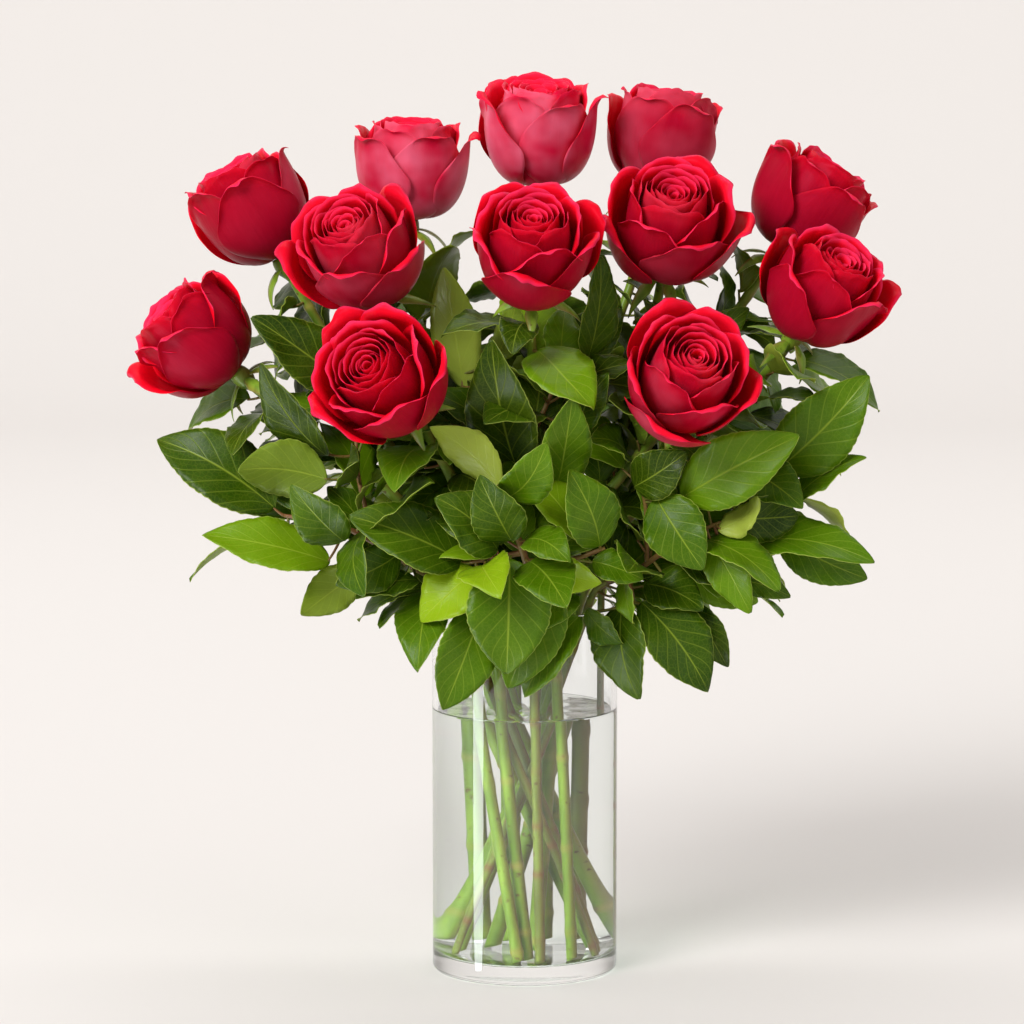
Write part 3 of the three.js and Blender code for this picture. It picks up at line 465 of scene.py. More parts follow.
# %% [markdown]
# ### Leaves
# The blade is leathery: a deep green upper face with a soft shine, a paler underside, a thin pale
# edge, and a net of lighter veins with one midrib and side veins that curve towards the tip. The veins
# are worked from the place across and along the blade, so they follow every leaf's own shape. The
# net's real cells are finer than 1 mm. They are drawn 2.4 mm wide, as coarse as they need to show.

# %% leaf material
SIDE_VEINS = 7


def leaf_material():
    """Green by the leaf's own tone, paler below, with midrib, side veins, net and edge drawn over it."""
    m, add = make_material("leathery green leaf")
    u, v, back, tone = form_numbers(add)
    where = add("TexCoord").outputs["Object"]
    top = add("ValToRGB", tone, stops=[(0.0, "1E3400"), (0.4, "335400"), (0.75, "527802"), (1.0, "88A812")])
    under = add("ValToRGB", tone, stops=[(0.0, "5C7422"), (0.5, "84982C"), (1.0, "AEBA52")])
    base = add("Mix", back, top, under, **RGBA)
    # yellower clouds of 22 mm
    cloud = add("TexNoise", where, Scale=every(22.2), Detail=4.0)
    yellower = add("Math", cloud, 1.4, -0.45, **LINE)
    base = add("Mix", yellower, base, add("Mix", 0.3, base, linear("7E9A20"), **RGBA), **RGBA)
    # the midrib, the side veins and the net: each is 1 on its line and falls to 0 beside it
    side = add("Math", add("Math", u, 0.5, operation="SUBTRACT"), operation="ABSOLUTE")
    mid = add("Math", side, -42.0, 1.0, **LINE)
    slant = add("Math", add("Math", side, 0.8, operation="POWER"), 0.6, **TIMES)
    reach = add("Math", v, slant, operation="SUBTRACT")
    wave = add("Math", add("Math", reach, SIDE_VEINS, **TIMES), 0.5, operation="PINGPONG")
    rib = add("Math", wave, -12.0, 1.0, **LINE)
    net = add("TexVoronoi", where, Scale=every(2.38), feature="DISTANCE_TO_EDGE")
    fine = add("Math", net, -9.0, 1.0, **LINE)
    veins = add("Math", mid, add("Math", rib, 0.45, **TIMES), operation="MAXIMUM")
    veins = add("Math", veins, add("Math", fine, 0.14, **TIMES), operation="MAXIMUM")
    base = add("Mix", add("Math", veins, 0.45, **TIMES), base, linear("A8BC3C"), **RGBA)
    edge = add("Math", side, 60.0, -29.0, **LINE)
    base = add("Mix", add("Math", edge, 0.5, **TIMES), base, linear("B4C458"), **RGBA)
    height = add("Math", add("Math", cloud, 0.5, **TIMES), veins, operation="SUBTRACT")
    bump = add("Bump", Strength=0.35, Distance=0.0005, Height=height)
    shader = add("BsdfPrincipled", Base_Color=base, Normal=bump, Roughness=0.34, Specular_IOR_Level=0.15,
                 Subsurface_Weight=0.04, Subsurface_Scale=0.002, Subsurface_Radius=(0.4, 1.0, 0.1))
    add("OutputMaterial", shader)
    return m


LEAF = leaf_material()

# %% [markdown]
# ### Stems and twigs
# A rose stem is smooth and green, with darker streaks that run along it, small brown specks, a browner
# side where the sun reached it, a pale scar at each node and a pale fresh cut. A shrub's twig has the
# same marks in olive and red-brown, so one material makes both with other colours.

# %% stem materials
def stem_material(name, skin, shade, scar, cut, rough):
    """Two colours in streaks of 6 by 33 mm, a browner side, specks of 4 mm, scars and the cut foot.

    The form numbers say where: across is high on one side, tone at a scar, and back is 1 on the cut."""
    m, add = make_material(name)
    one_side, _, on_cut, tone = form_numbers(add)
    where = add("TexCoord").outputs["Object"]
    spot = add("Mapping", where, Scale=(every(5.56), every(5.56), every(33.3)))
    noise = add("TexNoise", spot, Scale=1.0, Detail=4.0)
    base = add("ValToRGB", noise, stops=[(0.3, shade), (0.7, skin)])
    base = add("Mix", add("Math", one_side, 1.1, -0.55, **LINE), base, linear("8A5436"), **RGBA)
    specks = add("TexNoise", where, Scale=every(3.85), Detail=1.0)
    dark = add("Math", specks, 12.0, -8.0, **LINE)
    base = add("Mix", add("Math", dark, 0.7, **TIMES), base, linear("5A3010"), **RGBA)
    ringed = add("Math", tone, 2.0, -1.0, **LINE)
    base = add("Mix", add("Math", ringed, 0.75, **TIMES), base, linear(scar), **RGBA)
    base = add("Mix", on_cut, base, linear(cut), **RGBA)
    bump = add("Bump", Strength=0.2, Distance=0.0003, Height=noise)
    shader = add("BsdfPrincipled", Base_Color=base, Normal=bump, Roughness=rough, Specular_IOR_Level=0.3)
    add("OutputMaterial", shader)
    return m


GREEN_STEM = stem_material("smooth green rose stem", "8AA834", "5E7E1C", "A8944A", "E4E4B8", 0.38)
TWIG = stem_material("olive branch with reddish twigs", "7E8E34", "5E6424", "7E4430", "E4DCB0", 0.45)

# %% [markdown]
# ### Glass and water
# Clear soda-lime glass bends light by 1.5 and water by 1.33. The water's body reaches a hair into the
# glass, so that a ray passes from one to the other with no film of air in between, and the stems look
# broader and shifted as they really do.

# %% clear materials
def clear_material(name, tint, ior, swell=0.0):
    """A clear smooth body; a swell above zero ripples the level surface and leaves the wall straight."""
    m, add = make_material(name)
    relief = {}
    if swell:
        where = add("TexCoord").outputs["Object"]
        height = add("SeparateXYZ", where).outputs["Z"]
        top = add("Math", height, (WATER_LEVEL - 0.05) * MM, operation="GREATER_THAN")
        noise = add("TexNoise", where, Scale=every(14.3), Detail=1.0)
        ripples = add("Math", noise, top, **TIMES)
        relief["Normal"] = add("Bump", Strength=1.0, Distance=swell, Height=ripples)
    shader = add("BsdfPrincipled", Base_Color=linear(tint), Roughness=0.0, IOR=ior,
                 Transmission_Weight=1.0, **relief)
    # shadow rays go through, so that the stems inside are lit and the floor's shadow stays light
    shadow = add("LightPath").outputs["Is Shadow Ray"]
    clear = add("BsdfTransparent", Color=linear("F4F8F6"))
    add("OutputMaterial", add("MixShader", shadow, shader, clear))
    return m


GLASS = clear_material("clear soda-lime glass", "FCFEFE", 1.5)
WATER = clear_material("still water", "FDFEFD", 1.333, 0.0012)
print("materials:", ", ".join(m.name for m in bpy.data.materials))

# %% [markdown]
# ## Vase and water
# A blown cylinder has a heavy base, and edges that were melted smooth after it was cut. Both bodies
# are an outline turned about the axis. The water climbs the wall a little, so its edge is raised.

# %% vase and water bodies
HOLD = 0.25  # how far the holding rings stand from a corner


def rounded(corners, steps=6):
    """Corners (radius, z, rounding) as a profile with each corner turned into a short arc.

    Every straight stretch gets a ring close to each end, so its shading stays straight in between."""
    out = []
    for k, (r, z, fillet) in enumerate(corners):
        here = np.array([r, z], float)
        if k in (0, len(corners) - 1):
            out.append([r, z])
            continue
        to_before = np.array(corners[k - 1][:2]) - here
        to_after = np.array(corners[k + 1][:2]) - here
        reach = max(fillet, 0.01)
        before, after = unit(to_before) * reach, unit(to_after) * reach
        out.append(list(here + before * (1 + HOLD / reach)))
        for s in np.linspace(0, 1, steps if fillet else 1):
            out.append(list(here + before * (1 - s) ** 2 + after * s ** 2))
        out.append(list(here + after * (1 + HOLD / reach)))
    return out


OUT, IN, FLOOR, TOP = VASE["radius"], VASE["radius"] - VASE["wall"], VASE["floor"], VASE["height"]
WET = IN + 0.15  # the water reaches this far, a hair into the glass
vase_outline = [(0, 0, 0), (OUT - 6, 0, 0), (OUT, 0, VASE["corner"]), (OUT, TOP, VASE["rim"]),
                (IN, TOP, VASE["rim"]), (IN, FLOOR, VASE["inside"]), (0, FLOOR - 0.3, 0)]
water_outline = [(0, FLOOR - 0.5, 0), (WET, FLOOR - 0.2, VASE["inside"]), (WET, WATER_LEVEL + 1.2, 0),
                 (IN - 0.8, WATER_LEVEL + 0.4, 0), (IN - 3.0, WATER_LEVEL, 0), (0, WATER_LEVEL, 0)]
vase = turned_body("glass_vase", rounded(vase_outline), GLASS, "vase")
water = turned_body("water_body", rounded(water_outline), WATER, "water")
print("vase", len(vase.data.polygons), "faces, water", len(water.data.polygons))

# %% [markdown]
# ## Stems
# A stem runs straight from its cut foot to the mouth and then in one smooth cubic to its head, the
# same curve the solid model uses, but in many more steps and with a slight swelling at each node.

# %% stem curves
STRAIGHT = 60  # rings on the straight part


def stem_curve(foot, mouth, head, facing, steps):
    """The foot, then a Hermite cubic that leaves along the stem and arrives along the head's axis."""
    start_point = np.array([*mouth, MOUTH_LEVEL], float)
    foot_point = np.array([*foot, FOOT_LEVEL], float)
    way = unit(start_point - foot_point)
    reach = np.linalg.norm(head - start_point)
    t = np.linspace(0, 1, steps + 1)[:, None]
    curve = (start_point * (1 + t * t * (2 * t - 3)) + way * reach * 0.9 * t * (1 - t) ** 2
             + head * t * t * (3 - 2 * t) + facing * reach * 0.9 * t * t * (t - 1))
    return foot_point, curve


def swollen(line, radius, spacing, seed, share=0.16):
    """Radii along a line, and a tone for each ring: a short swelling and a scar at every spacing."""
    far = np.concatenate([[0], np.cumsum(np.linalg.norm(np.diff(line, axis=0), axis=1))])
    at = np.arange(18 + 8 * chance(seed, 3), far[-1] - 8, spacing)
    at = at + np.array([7 * chance(k, seed) for k in range(len(at))])
    bump = sum((np.exp(-((far - a) / 2.4) ** 2) for a in at), np.zeros(len(far)))
    scar = sum((np.exp(-((far - a) / 1.1) ** 2) for a in at), np.zeros(len(far)))
    return radius * (1 + share * np.minimum(bump, 1)), 0.5 + 0.5 * np.minimum(scar, 1)


def fine_line(foot_point, curve):
    """The straight part cut into steps, followed by the curve."""
    straight = foot_point + (curve[0] - foot_point) * np.linspace(0, 1, STRAIGHT)[:-1, None]
    return np.vstack([straight, curve])


# %% [markdown]
# ## Leaves
# Base, tip, half width, roll and arch give a leaf; its blade folds up from the midrib and waves at
# the edges. Where the solid model had to bend a leaf clear of its neighbours, the same turn is found
# here by trying the same list of turns and taking the one whose tip lies on the solid.

# %% leaf shape
OFF = 3.0  # a point this many millimetres from the solid counts as off it


def leaf_width(v):
    """Half width of the blade as a share of its widest: round near the base and drawn to a point."""
    return np.sin(np.pi * np.clip(v, 0, 1) ** 0.8) ** 0.8


def leaf_turned(spec, turn):
    """The leaf with its tip turned about its base to the side, up and about its length, and resized."""
    side_turn, up_turn, roll, size = turn
    along = unit(spec["tip"] - spec["base"])
    side = unit(np.cross(along, spec["normal"]))
    up = np.cross(side, along)
    way = turned(turned(along, up, side_turn), side, up_turn)
    normal = turned(turned(up, up, side_turn), side, up_turn)
    normal = turned(normal, unit(way), roll)
    tip = spec["base"] + way * np.linalg.norm(spec["tip"] - spec["base"]) * size
    return {**spec, "tip": tip, "normal": normal, "half": spec["half"] * size}


def solid_points(node):
    """The CAD node's vertices in millimetres, ready to be searched."""
    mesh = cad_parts[node].data
    co = np.empty(len(mesh.vertices) * 3, np.float32)
    mesh.vertices.foreach_get("co", co)
    tree = kdtree.KDTree(len(mesh.vertices))
    for k, p in enumerate(co.reshape(-1, 3) / MM):
        tree.insert(p, k)
    tree.balance()
    return tree


def as_built(spec, tree):
    """The leaf as the solid model turned it, and how far off it is.

    Of all turns it is the one whose tip and widest points lie nearest the solid's vertices."""
    best = None
    for turn in TURNS:
        leaf = leaf_turned(spec, turn)
        along = unit(leaf["tip"] - leaf["base"])
        side = unit(np.cross(along, leaf["normal"]))
        up = np.cross(side, along)
        far = 0.0
        for face in (0.4, -0.4):
            far += min(tree.find(leaf["tip"] + up * face)[2], OFF)
        v = leaf["rows"][0]
        centre = leaf["base"] + (leaf["tip"] - leaf["base"]) * v + up * leaf["arch"] * 4 * v * (1 - v)
        width = leaf["half"] * leaf_width(v)
        for u in (-1, 1):
            wave = u * leaf["wave"] * math.sin(9 * v + leaf["half"])
            edge = centre + side * u * width + up * (width * leaf["fold"] + wave + 0.4)
            far += min(tree.find(edge)[2], OFF)
        if best is None or far < best[0]:
            best = (far, leaf)
        if far < 0.05:
            break
    return best


def add_leaf(blades, stalks, spec, seed, painted_light_shift, rows, cols):
    """The blade as a fine grid with teeth, edge waves and a round petiole from the twig to its base."""
    base, tip = spec["base"], spec["tip"]
    span = np.linalg.norm(tip - base)
    along = unit(tip - base)
    side = unit(np.cross(along, spec["normal"]))
    up = np.cross(side, along)
    v = np.linspace(0, 1, rows)[:, None]
    u = np.linspace(-1, 1, cols)[None, :]
    teeth = 1 + 0.035 * (np.abs(np.sin(v * span * 0.62)) - 0.5) * np.abs(u) ** 6
    width = (spec["half"] * leaf_width(v) * 0.998 + 0.5) * np.ones_like(u) * teeth
    lift = width * spec["fold"] * np.sqrt(u * u + 0.02) + u * spec["wave"] * np.sin(9 * v + spec["half"])
    lift = lift + 0.7 * np.abs(u) ** 3 * np.sin(v * 21 + 3 * chance(seed, 8)) * np.sin(np.pi * v)
    rib = np.cos(2 * np.pi * SIDE_VEINS * (v - 0.345 * np.abs(u) ** 0.8))
    lift = lift - 0.35 * np.abs(u) * rib * np.sin(np.pi * v)
    bend = 2.0 * chance(seed, 5) * np.sin(np.pi * v)
    place = (base + along * (span * v)[..., None] + side * (u * width + bend)[..., None]
             + up * (spec["arch"] * 4 * v * (1 - v) + lift)[..., None])
    thick = 0.16 + 0.1 * np.exp(-(u * 6) ** 2) + 0 * v
    # the leaf's random tone, moved lighter or darker by the painted light or shade for its branch
    tone = min(max((0.5 + 0.5 * chance(seed, 2)) ** 1.4 + painted_light_shift, 0.0), 1.0)
    add_sheet(blades, place, thick, u + 0 * v, v + 0 * u, tone)
    s = np.linspace(0, 1, 9)[:, None]
    root = spec["root"]
    control = (root + base) / 2 - np.array([0, 0, 0.12 * np.linalg.norm(base - root)])
    path = root * (1 - s) ** 2 + control * 2 * s * (1 - s) + (base + along * 1.5) * s ** 2
    add_rod(stalks, path, np.linspace(0.9, 0.6, 9), 8, 0.5 + 0.5 * abs(chance(seed, 4)))


# %% [markdown]
# ### Lines and the leaves on them
# A twig grows in a smooth bend through a few points. A leaf either has its place in the front view or
# stands on a line, turned about it by an angle, as leaves do that alternate along a shoot.

# %% lines of the foliage
def smooth_line(points, start_way, steps=14):
    """A Catmull-Rom curve through the points: each span leaves along the chord of its neighbours."""
    points = [np.asarray(p, float) for p in points]
    ways = [start_way * np.linalg.norm(points[1] - points[0])]
    for k in range(1, len(points) - 1):
        ways.append((points[k + 1] - points[k - 1]) / 2)
    ways.append(points[-1] - points[-2])
    out = [points[0][None]]
    for k in range(len(points) - 1):
        t = np.linspace(0, 1, steps + 1)[1:, None]
        out.append(points[k] * (1 + t * t * (2 * t - 3)) + ways[k] * t * (1 - t) ** 2
                   + points[k + 1] * t * t * (3 - 2 * t) + ways[k + 1] * t * t * (t - 1))
    return np.vstack(out)


def nearest(line, place, short=0.0):
    """The point of a line nearest a place, kept a little short of each stretch's end where asked."""
    a, b = line[:-1], line[1:]
    step = b - a
    long = np.maximum(np.linalg.norm(step, axis=1), 1e-6)
    t = np.clip(np.sum((place - a) * step, 1) / long ** 2, 0, 1 - short / np.maximum(long, 2 * short + 1e-6))
    point = a + step * t[:, None]
    far = np.linalg.norm(point - place, axis=1)
    return far.min(), point[far.argmin()]


def standing_leaf(point, along, turn, size):
    """A leaf that stands on a line, turned about it and drooping a little."""
    out = unit(turned(unit(np.cross(along, [0.02, 0.11, 1])), along, turn))
    way = unit(out * 0.86 + along * 0.42 + np.array([0, 0, -0.12]))
    base = point + out * 8
    tip = base + way * size["length"]
    up = unit(np.cross(np.cross(way, [0, 0, 1]), way))
    return dict(root=point, base=base, tip=tip, half=size["half"], normal=up, arch=6, fold=0.22,
                wave=1.2, rows=[0.5])


def seen_leaf(leaf):
    """A leaf from its place in the front view, facing the viewer before its roll."""
    bx, bz, by, tx, tz, ty, half, roll, arch = leaf
    base, tip = seen([bx, bz, by]), seen([tx, tz, ty])
    along = unit(tip - base)
    view = np.array([0, -0.94, 0.34])
    flat = unit(view - along * np.dot(view, along))
    return dict(root=base, base=base, tip=tip, half=half, normal=turned(flat, along, roll), arch=arch,
                fold=0.22, wave=1.2, rows=[0.4, 0.78])


# %% [markdown]
# ### Wood
# A branch is a rod that thins towards its end, with a slight swelling and a scar at each node. Side
# twigs start from the nearest point of what is there already, and are thinner and redder.

# %% wood of the branches and the leaves the solid model holds
made = missed = 0
SPRAYS = {}
for number, (node, branch) in enumerate(BRANCHES.items()):
    tree = solid_points(node)
    foot = np.array([*branch["foot"], FOOT_LEVEL], float)
    mouth = np.array([*branch["mouth"], MOUTH_LEVEL], float)
    coarse = [np.array([mouth] + [seen(p) for p in branch["line"]])]
    fine = [smooth_line(coarse[0], unit(mouth - foot))]
    wood = Parts()
    main = fine_line(foot, fine[0])
    shrink = np.interp(np.arange(len(main)), [0, STRAIGHT - 1, len(main) - 1], [1, 1, 0.45])
    radii, scar = swollen(main, branch["stem"], 30, number)
    reddish = np.interp(np.arange(len(main)), [0, STRAIGHT - 1, STRAIGHT + 15], [0, 0, 0.4])
    add_rod(wood, main, radii * shrink, 12, scar + reddish, level_cut=0.8)
    for twig in branch["twigs"]:
        points = [seen(p) for p in twig]
        points[0] = min((nearest(line, points[0], 2.0) for line in coarse), key=lambda f: f[0])[1]
        coarse.append(np.array(points))
        line = smooth_line(points, unit(points[1] - points[0]))
        fine.append(line)
        add_rod(wood, line, np.linspace(0.7, 0.4, len(line)) * branch["stem"], 10, 0.9)
    specs = [seen_leaf(leaf) for leaf in branch["leaves"]]
    if not specs:
        for line in coarse:
            start = 12.0
            for a, b in zip(line[:-1], line[1:]):
                span, along = np.linalg.norm(b - a), unit(b - a)
                while start < span:
                    for turn in (RULED["spread"], -RULED["spread"]):
                        specs.append(standing_leaf(a + along * start, along, turn, RULED))
                    start += RULED["spacing"]
                start -= span
    leaves = []
    for k, spec in enumerate(specs):
        far, leaf = as_built(spec, tree)
        if far > OFF:
            missed += 1
            print("missed", node, k, round(far, 2))
            continue
        leaf["root"] = min((nearest(line, leaf["base"]) for line in fine), key=lambda f: f[0])[1]
        leaves.append(leaf)
        made += 1
    SPRAYS[node] = dict(lines=fine, wood=wood, leaves=leaves)
print("leaves found in the branches", made, "missed", missed)

# %% [markdown]
# ### Rose stems
# The solid model draws each curve in five steps and sets its leaves on those corners. The leaves are
# looked for there, while the stem itself follows the fine curve.

# %% rose stems' curves and the leaves the solid model holds
for index, rose in enumerate(ROSES):
    node = "rose_stem_%02d" % (index + 1)
    facing = unit(rose["facing"])
    head = np.array(rose["at"], float) - facing * 12
    foot, curve = stem_curve(rose["foot"], rose["mouth"], head, facing, 60)
    rose["line"] = fine_line(foot, curve)
    coarse = np.vstack([foot, stem_curve(rose["foot"], rose["mouth"], head, facing, 5)[1]])
    leaves = []
    tree = solid_points(node)
    for share, turn in OWN_LEAVES[index]:
        k = 1 + math.floor(share * 5 + 0.5)
        along = unit(coarse[k] - coarse[k - 1])
        far, leaf = as_built(standing_leaf(coarse[k], along, turn, OWN_LEAF), tree)
        if far > OFF:
            missed += 1
            print("missed", node, share, round(far, 2))
            continue
        leaves.append(leaf)
        made += 1
    SPRAYS[node] = dict(lines=[curve], wood=Parts(), leaves=leaves)
print("leaves found in all", made, "missed", missed)

# %% [markdown]
# ### More leaves
# The bouquet is dense: hardly any daylight shows between the stems. The solid model carries the
# large leaves that give the mass its outline. The rest is grown here by a rule: every line has a node
# each few millimetres, a leaf is tried there in several directions, and it stays where its blade
# keeps clear of the flowers, the vase, the stems and every blade set before it.

# %% room for the filling leaves
LOWEST, WIDEST, DEEPEST = 140, 205, 128  # how far down, to the sides and to the back they may reach
OVER_RIM = VASE["height"] + 3
FLOWER = [(np.array(r["at"], float), unit(r["facing"]), r["size"]) for r in ROSES]
STEM_POINTS = np.vstack([r["line"][STRAIGHT::4] for r in ROSES])
GRID_V, GRID_U = np.meshgrid([0.12, 0.3, 0.5, 0.7, 0.88, 1.0], [-0.9, -0.45, 0.0, 0.45, 0.9],
                             indexing="ij")


def blade_points(leaf):
    """Thirty points spread over a blade: along its length, across its width, with its fold and arch."""
    span = np.linalg.norm(leaf["tip"] - leaf["base"])
    along = unit(leaf["tip"] - leaf["base"])
    side = unit(np.cross(along, leaf["normal"]))
    up = np.cross(side, along)
    width = leaf["half"] * leaf_width(GRID_V)
    rise = leaf["arch"] * 4 * GRID_V * (1 - GRID_V) + np.abs(GRID_U) * width * leaf["fold"]
    points = (leaf["base"] + along * (span * GRID_V)[..., None] + side * (GRID_U * width)[..., None]
              + up * rise[..., None])
    return points.reshape(-1, 3)


def has_room(points, taken):
    """Whether a blade keeps clear of the flowers, the vase, the box, the stems and other blades."""
    if points[:, 2].min() < LOWEST or np.any(np.abs(points[:, :2]).max(0) > (WIDEST, DEEPEST)):
        return False
    if np.any((points[:, 2] < OVER_RIM) & (np.hypot(points[:, 0], points[:, 1]) < VASE["radius"] + 2.5)):
        return False
    for at, facing, size in FLOWER:
        rel = points - at
        high = rel @ facing
        wide = np.linalg.norm(rel - high[:, None] * facing, axis=1)
        edge = (36 * np.sqrt(np.clip((high + 8) / 26, 0, 1)) + 4) * size
        if np.any((high > -8) & (high < 62 * size) & (wide < edge)):
            return False
    near_stem = np.linalg.norm(points[:, None] - STEM_POINTS[None], axis=2).min()
    near_leaf = np.linalg.norm(points[:, None] - taken[None], axis=2).min()
    return near_stem > 3.2 and near_leaf > 4.0


def tried_leaf(root, along, seed, attempt, level):
    """One leaf tried at a node: it faces outward and up, points any way, and changes with each try."""
    j = seed + 37 * attempt
    radial = unit([root[0], root[1] - 10.0, 30.0])
    luck = np.array([chance(j, 1), chance(j, 2), chance(j, 3)])
    normal = unit(radial * 0.8 + np.array([0, 0, 0.55]) + 0.45 * luck)
    flat = unit(np.cross(normal, [0.31, 0.2, 0.93]))
    way = unit(turned(flat, normal, 180 * chance(j, 4)) + 0.15 * radial)
    shrink = (1.0, 0.85, 0.7)[attempt % 3] * (1.0 - 0.12 * level)
    base = root + unit(way + 0.4 * along) * (7 + 4 * abs(chance(j, 5)))
    tip = base + way * (54 + 8 * chance(j, 6)) * shrink
    return dict(root=root, base=base, tip=tip, half=(16.5 + 2 * chance(j, 7)) * shrink, normal=normal,
                arch=5.0 + 2 * chance(j, 8), fold=0.2, wave=1.2, rows=[0.5])


# %% grow the filling leaves
NODE_STEP, TRIES = 14, 14  # millimetres from node to node, and leaves tried at each
taken = np.vstack([blade_points(leaf) for spray in SPRAYS.values() for leaf in spray["leaves"]])
grown = 0
for level in (0, 1):
    for number, (node, spray) in enumerate(SPRAYS.items()):
        spray.setdefault("extra", [])
        for which, line in enumerate(spray["lines"]):
            step = np.linalg.norm(np.diff(line, axis=0), axis=1)
            far = np.concatenate([[0], np.cumsum(step)])
            for turn_no, at in enumerate(np.arange(6 + 7 * level, far[-1] - 4, NODE_STEP)):
                root = np.array([np.interp(at, far, line[:, k]) for k in range(3)])
                if not OVER_RIM < root[2] < 372:
                    continue
                k = min(int(np.searchsorted(far, at)), len(line) - 1)
                along = unit(line[k] - line[k - 1])
                seed = 100 * number + 17 * which + turn_no + 1000 * level
                for attempt in range(TRIES):
                    leaf = tried_leaf(root, along, seed, attempt, level)
                    points = blade_points(leaf)
                    if has_room(points, taken):
                        spray["extra"].append(leaf)
                        taken = np.vstack([taken, points])
                        grown += 1
                        break
print("filling leaves grown", grown)

# %% [markdown]
# ### Branches as meshes
# Every branch becomes two pieces, wood and blades. The leaves at the front are painted a lighter green
# as painted light where the key falls on them, and the others a little darker as painted shade. Large
# leaves get a finer grid, because their teeth and veins are seen closer.

# %% meshes of the branches
for number, (node, spray) in enumerate(SPRAYS.items()):
    blades = Parts()
    # painted light and shade: the front leaves lighter where the key falls, the rest a little darker
    painted_light_shift = 0.2 if node == "foliage_front" else -0.1
    large = len(spray["leaves"])
    for k, leaf in enumerate(spray["leaves"] + spray["extra"]):
        rows, cols = (49, 9) if k < large else (33, 7)
        add_leaf(blades, spray["wood"], leaf, 17 * number + k, painted_light_shift, rows, cols)
    if node in BRANCHES:
        spray["wood"].mesh(node + "_wood", TWIG, None, "foliage")
        blades.mesh(node + "_leaves", LEAF, node, "foliage")
    elif blades.count:
        blades.mesh(node + "_leaves", LEAF, None, "rose_green")
        spray["wood"].mesh(node + "_stalks", TWIG, None, "rose_green")

# %% [markdown]
# ## Roses
# A petal starts as a flat, rounded piece. Its two upper corners roll back about slanting fold lines,
# which gives a rose petal its pointed tip. The piece is then bent crosswise round the flower's axis
# and lengthwise along a curve from the cup to the rim. Petals follow each other at the golden angle,
# small and upright at the heart, broad and leaning out at the rim.

# %% petal shape
GOLDEN = 137.5  # degrees from one petal to the next


def on_curve(corners, s):
    """A point of a cubic curve in the plane of radius and height, and its direction."""
    a, b, c, d = [np.asarray(p, float) for p in corners]
    s = np.asarray(s, float)[..., None]
    q = 1 - s
    at = q ** 3 * a + 3 * q * q * s * b + 3 * q * s * s * c + s ** 3 * d
    go = 3 * (q * q * (b - a) + 2 * q * s * (c - b) + s * s * (d - c))
    return at, go


def petal_shape(i, rose, index):
    """How one petal is cut and bent, from its number counted from the heart outward.

    t grows from 0 at the heart to 1 at the rim. Outer is above 0 for the outer petals only, which lean
    out further, end lower and curl more."""
    t = (i + 0.5) / PETALS_IN_ROSE

    def jog(k):
        """This petal's own small change number k, from -1 to 1."""
        return chance(i + 31 * k, index + 1)

    size, wide = rose["size"], rose["open"]
    outer = max(0.0, (t - 0.55) / 0.45)
    belly = (3.4 + 26.5 * t ** 0.85) * size
    rim = (1.8 + 27.5 * t + (3.5 + 5 * wide) * outer ** 1.5 + 0.9 * t * jog(1)) * size
    height = (51 + 3 * math.sin(math.pi * t) - (2 + 13 * wide) * outer ** 1.4 + 1.1 * jog(2)) * size
    curve = [[2.5, 2.2], [belly * 0.98, 2.5 - 3.5 * t], [belly * (1.1 + 0.1 * wide * t), height * 0.52],
             [rim, height]]
    walk = on_curve(curve, np.linspace(0, 1, 17))[0]
    body = float(np.sum(np.linalg.norm(np.diff(walk, axis=0), axis=1)))
    lip = (1.0 + 4.0 * t) * size
    long = body + lip * (0.45 + 0.55 * t + 1.0 * outer)
    slope = math.radians(50 - 12 * outer * abs(jog(6)))
    fold = long * math.sin(slope) * (1.0 + 0.6 * max(0.0, 0.7 - t) - 0.06 * outer * (1 + wide))
    turn = math.radians(rose["turn"] + i * GOLDEN + 7 * jog(5))
    return dict(curve=curve, body=body, long=long, lip=lip, slope=slope, t=t, fold=fold, turn=turn,
                half=(9 + 30 * t * (1 - 0.4 * t)) * size * (1 + 0.06 * jog(3)),
                roll=(2.8 + 2.4 * t) * size, soft=5 * t * size, wrap=1.02 + 0.06 * t,
                wave=0.9 * t + 1.3 * outer, drop=0.05 + 0.24 * outer, phase=3 * jog(4))


def meridian(p, y):
    """Radius, height and outward direction at a length y up the petal: a cubic, then the lip's arc."""
    at, go = on_curve(p["curve"], np.minimum(y / p["body"], 1.0))
    go = go / np.linalg.norm(go, axis=-1, keepdims=True)
    bend = np.maximum(y - p["body"], 0) / p["lip"]
    end = np.array(p["curve"][3]) - np.array(p["curve"][2])
    end = end / np.linalg.norm(end)
    out = np.array([end[1], -end[0]])
    arc = np.sin(bend)[..., None] * end + (1 - np.cos(bend))[..., None] * out
    at = at + p["lip"] * arc
    out_here = np.stack([go[..., 1], -go[..., 0]], -1)
    bent = np.cos(bend)[..., None] * out - np.sin(bend)[..., None] * end
    out_here = np.where((bend > 0)[..., None], bent, out_here)
    return at[..., 0], at[..., 1], out_here


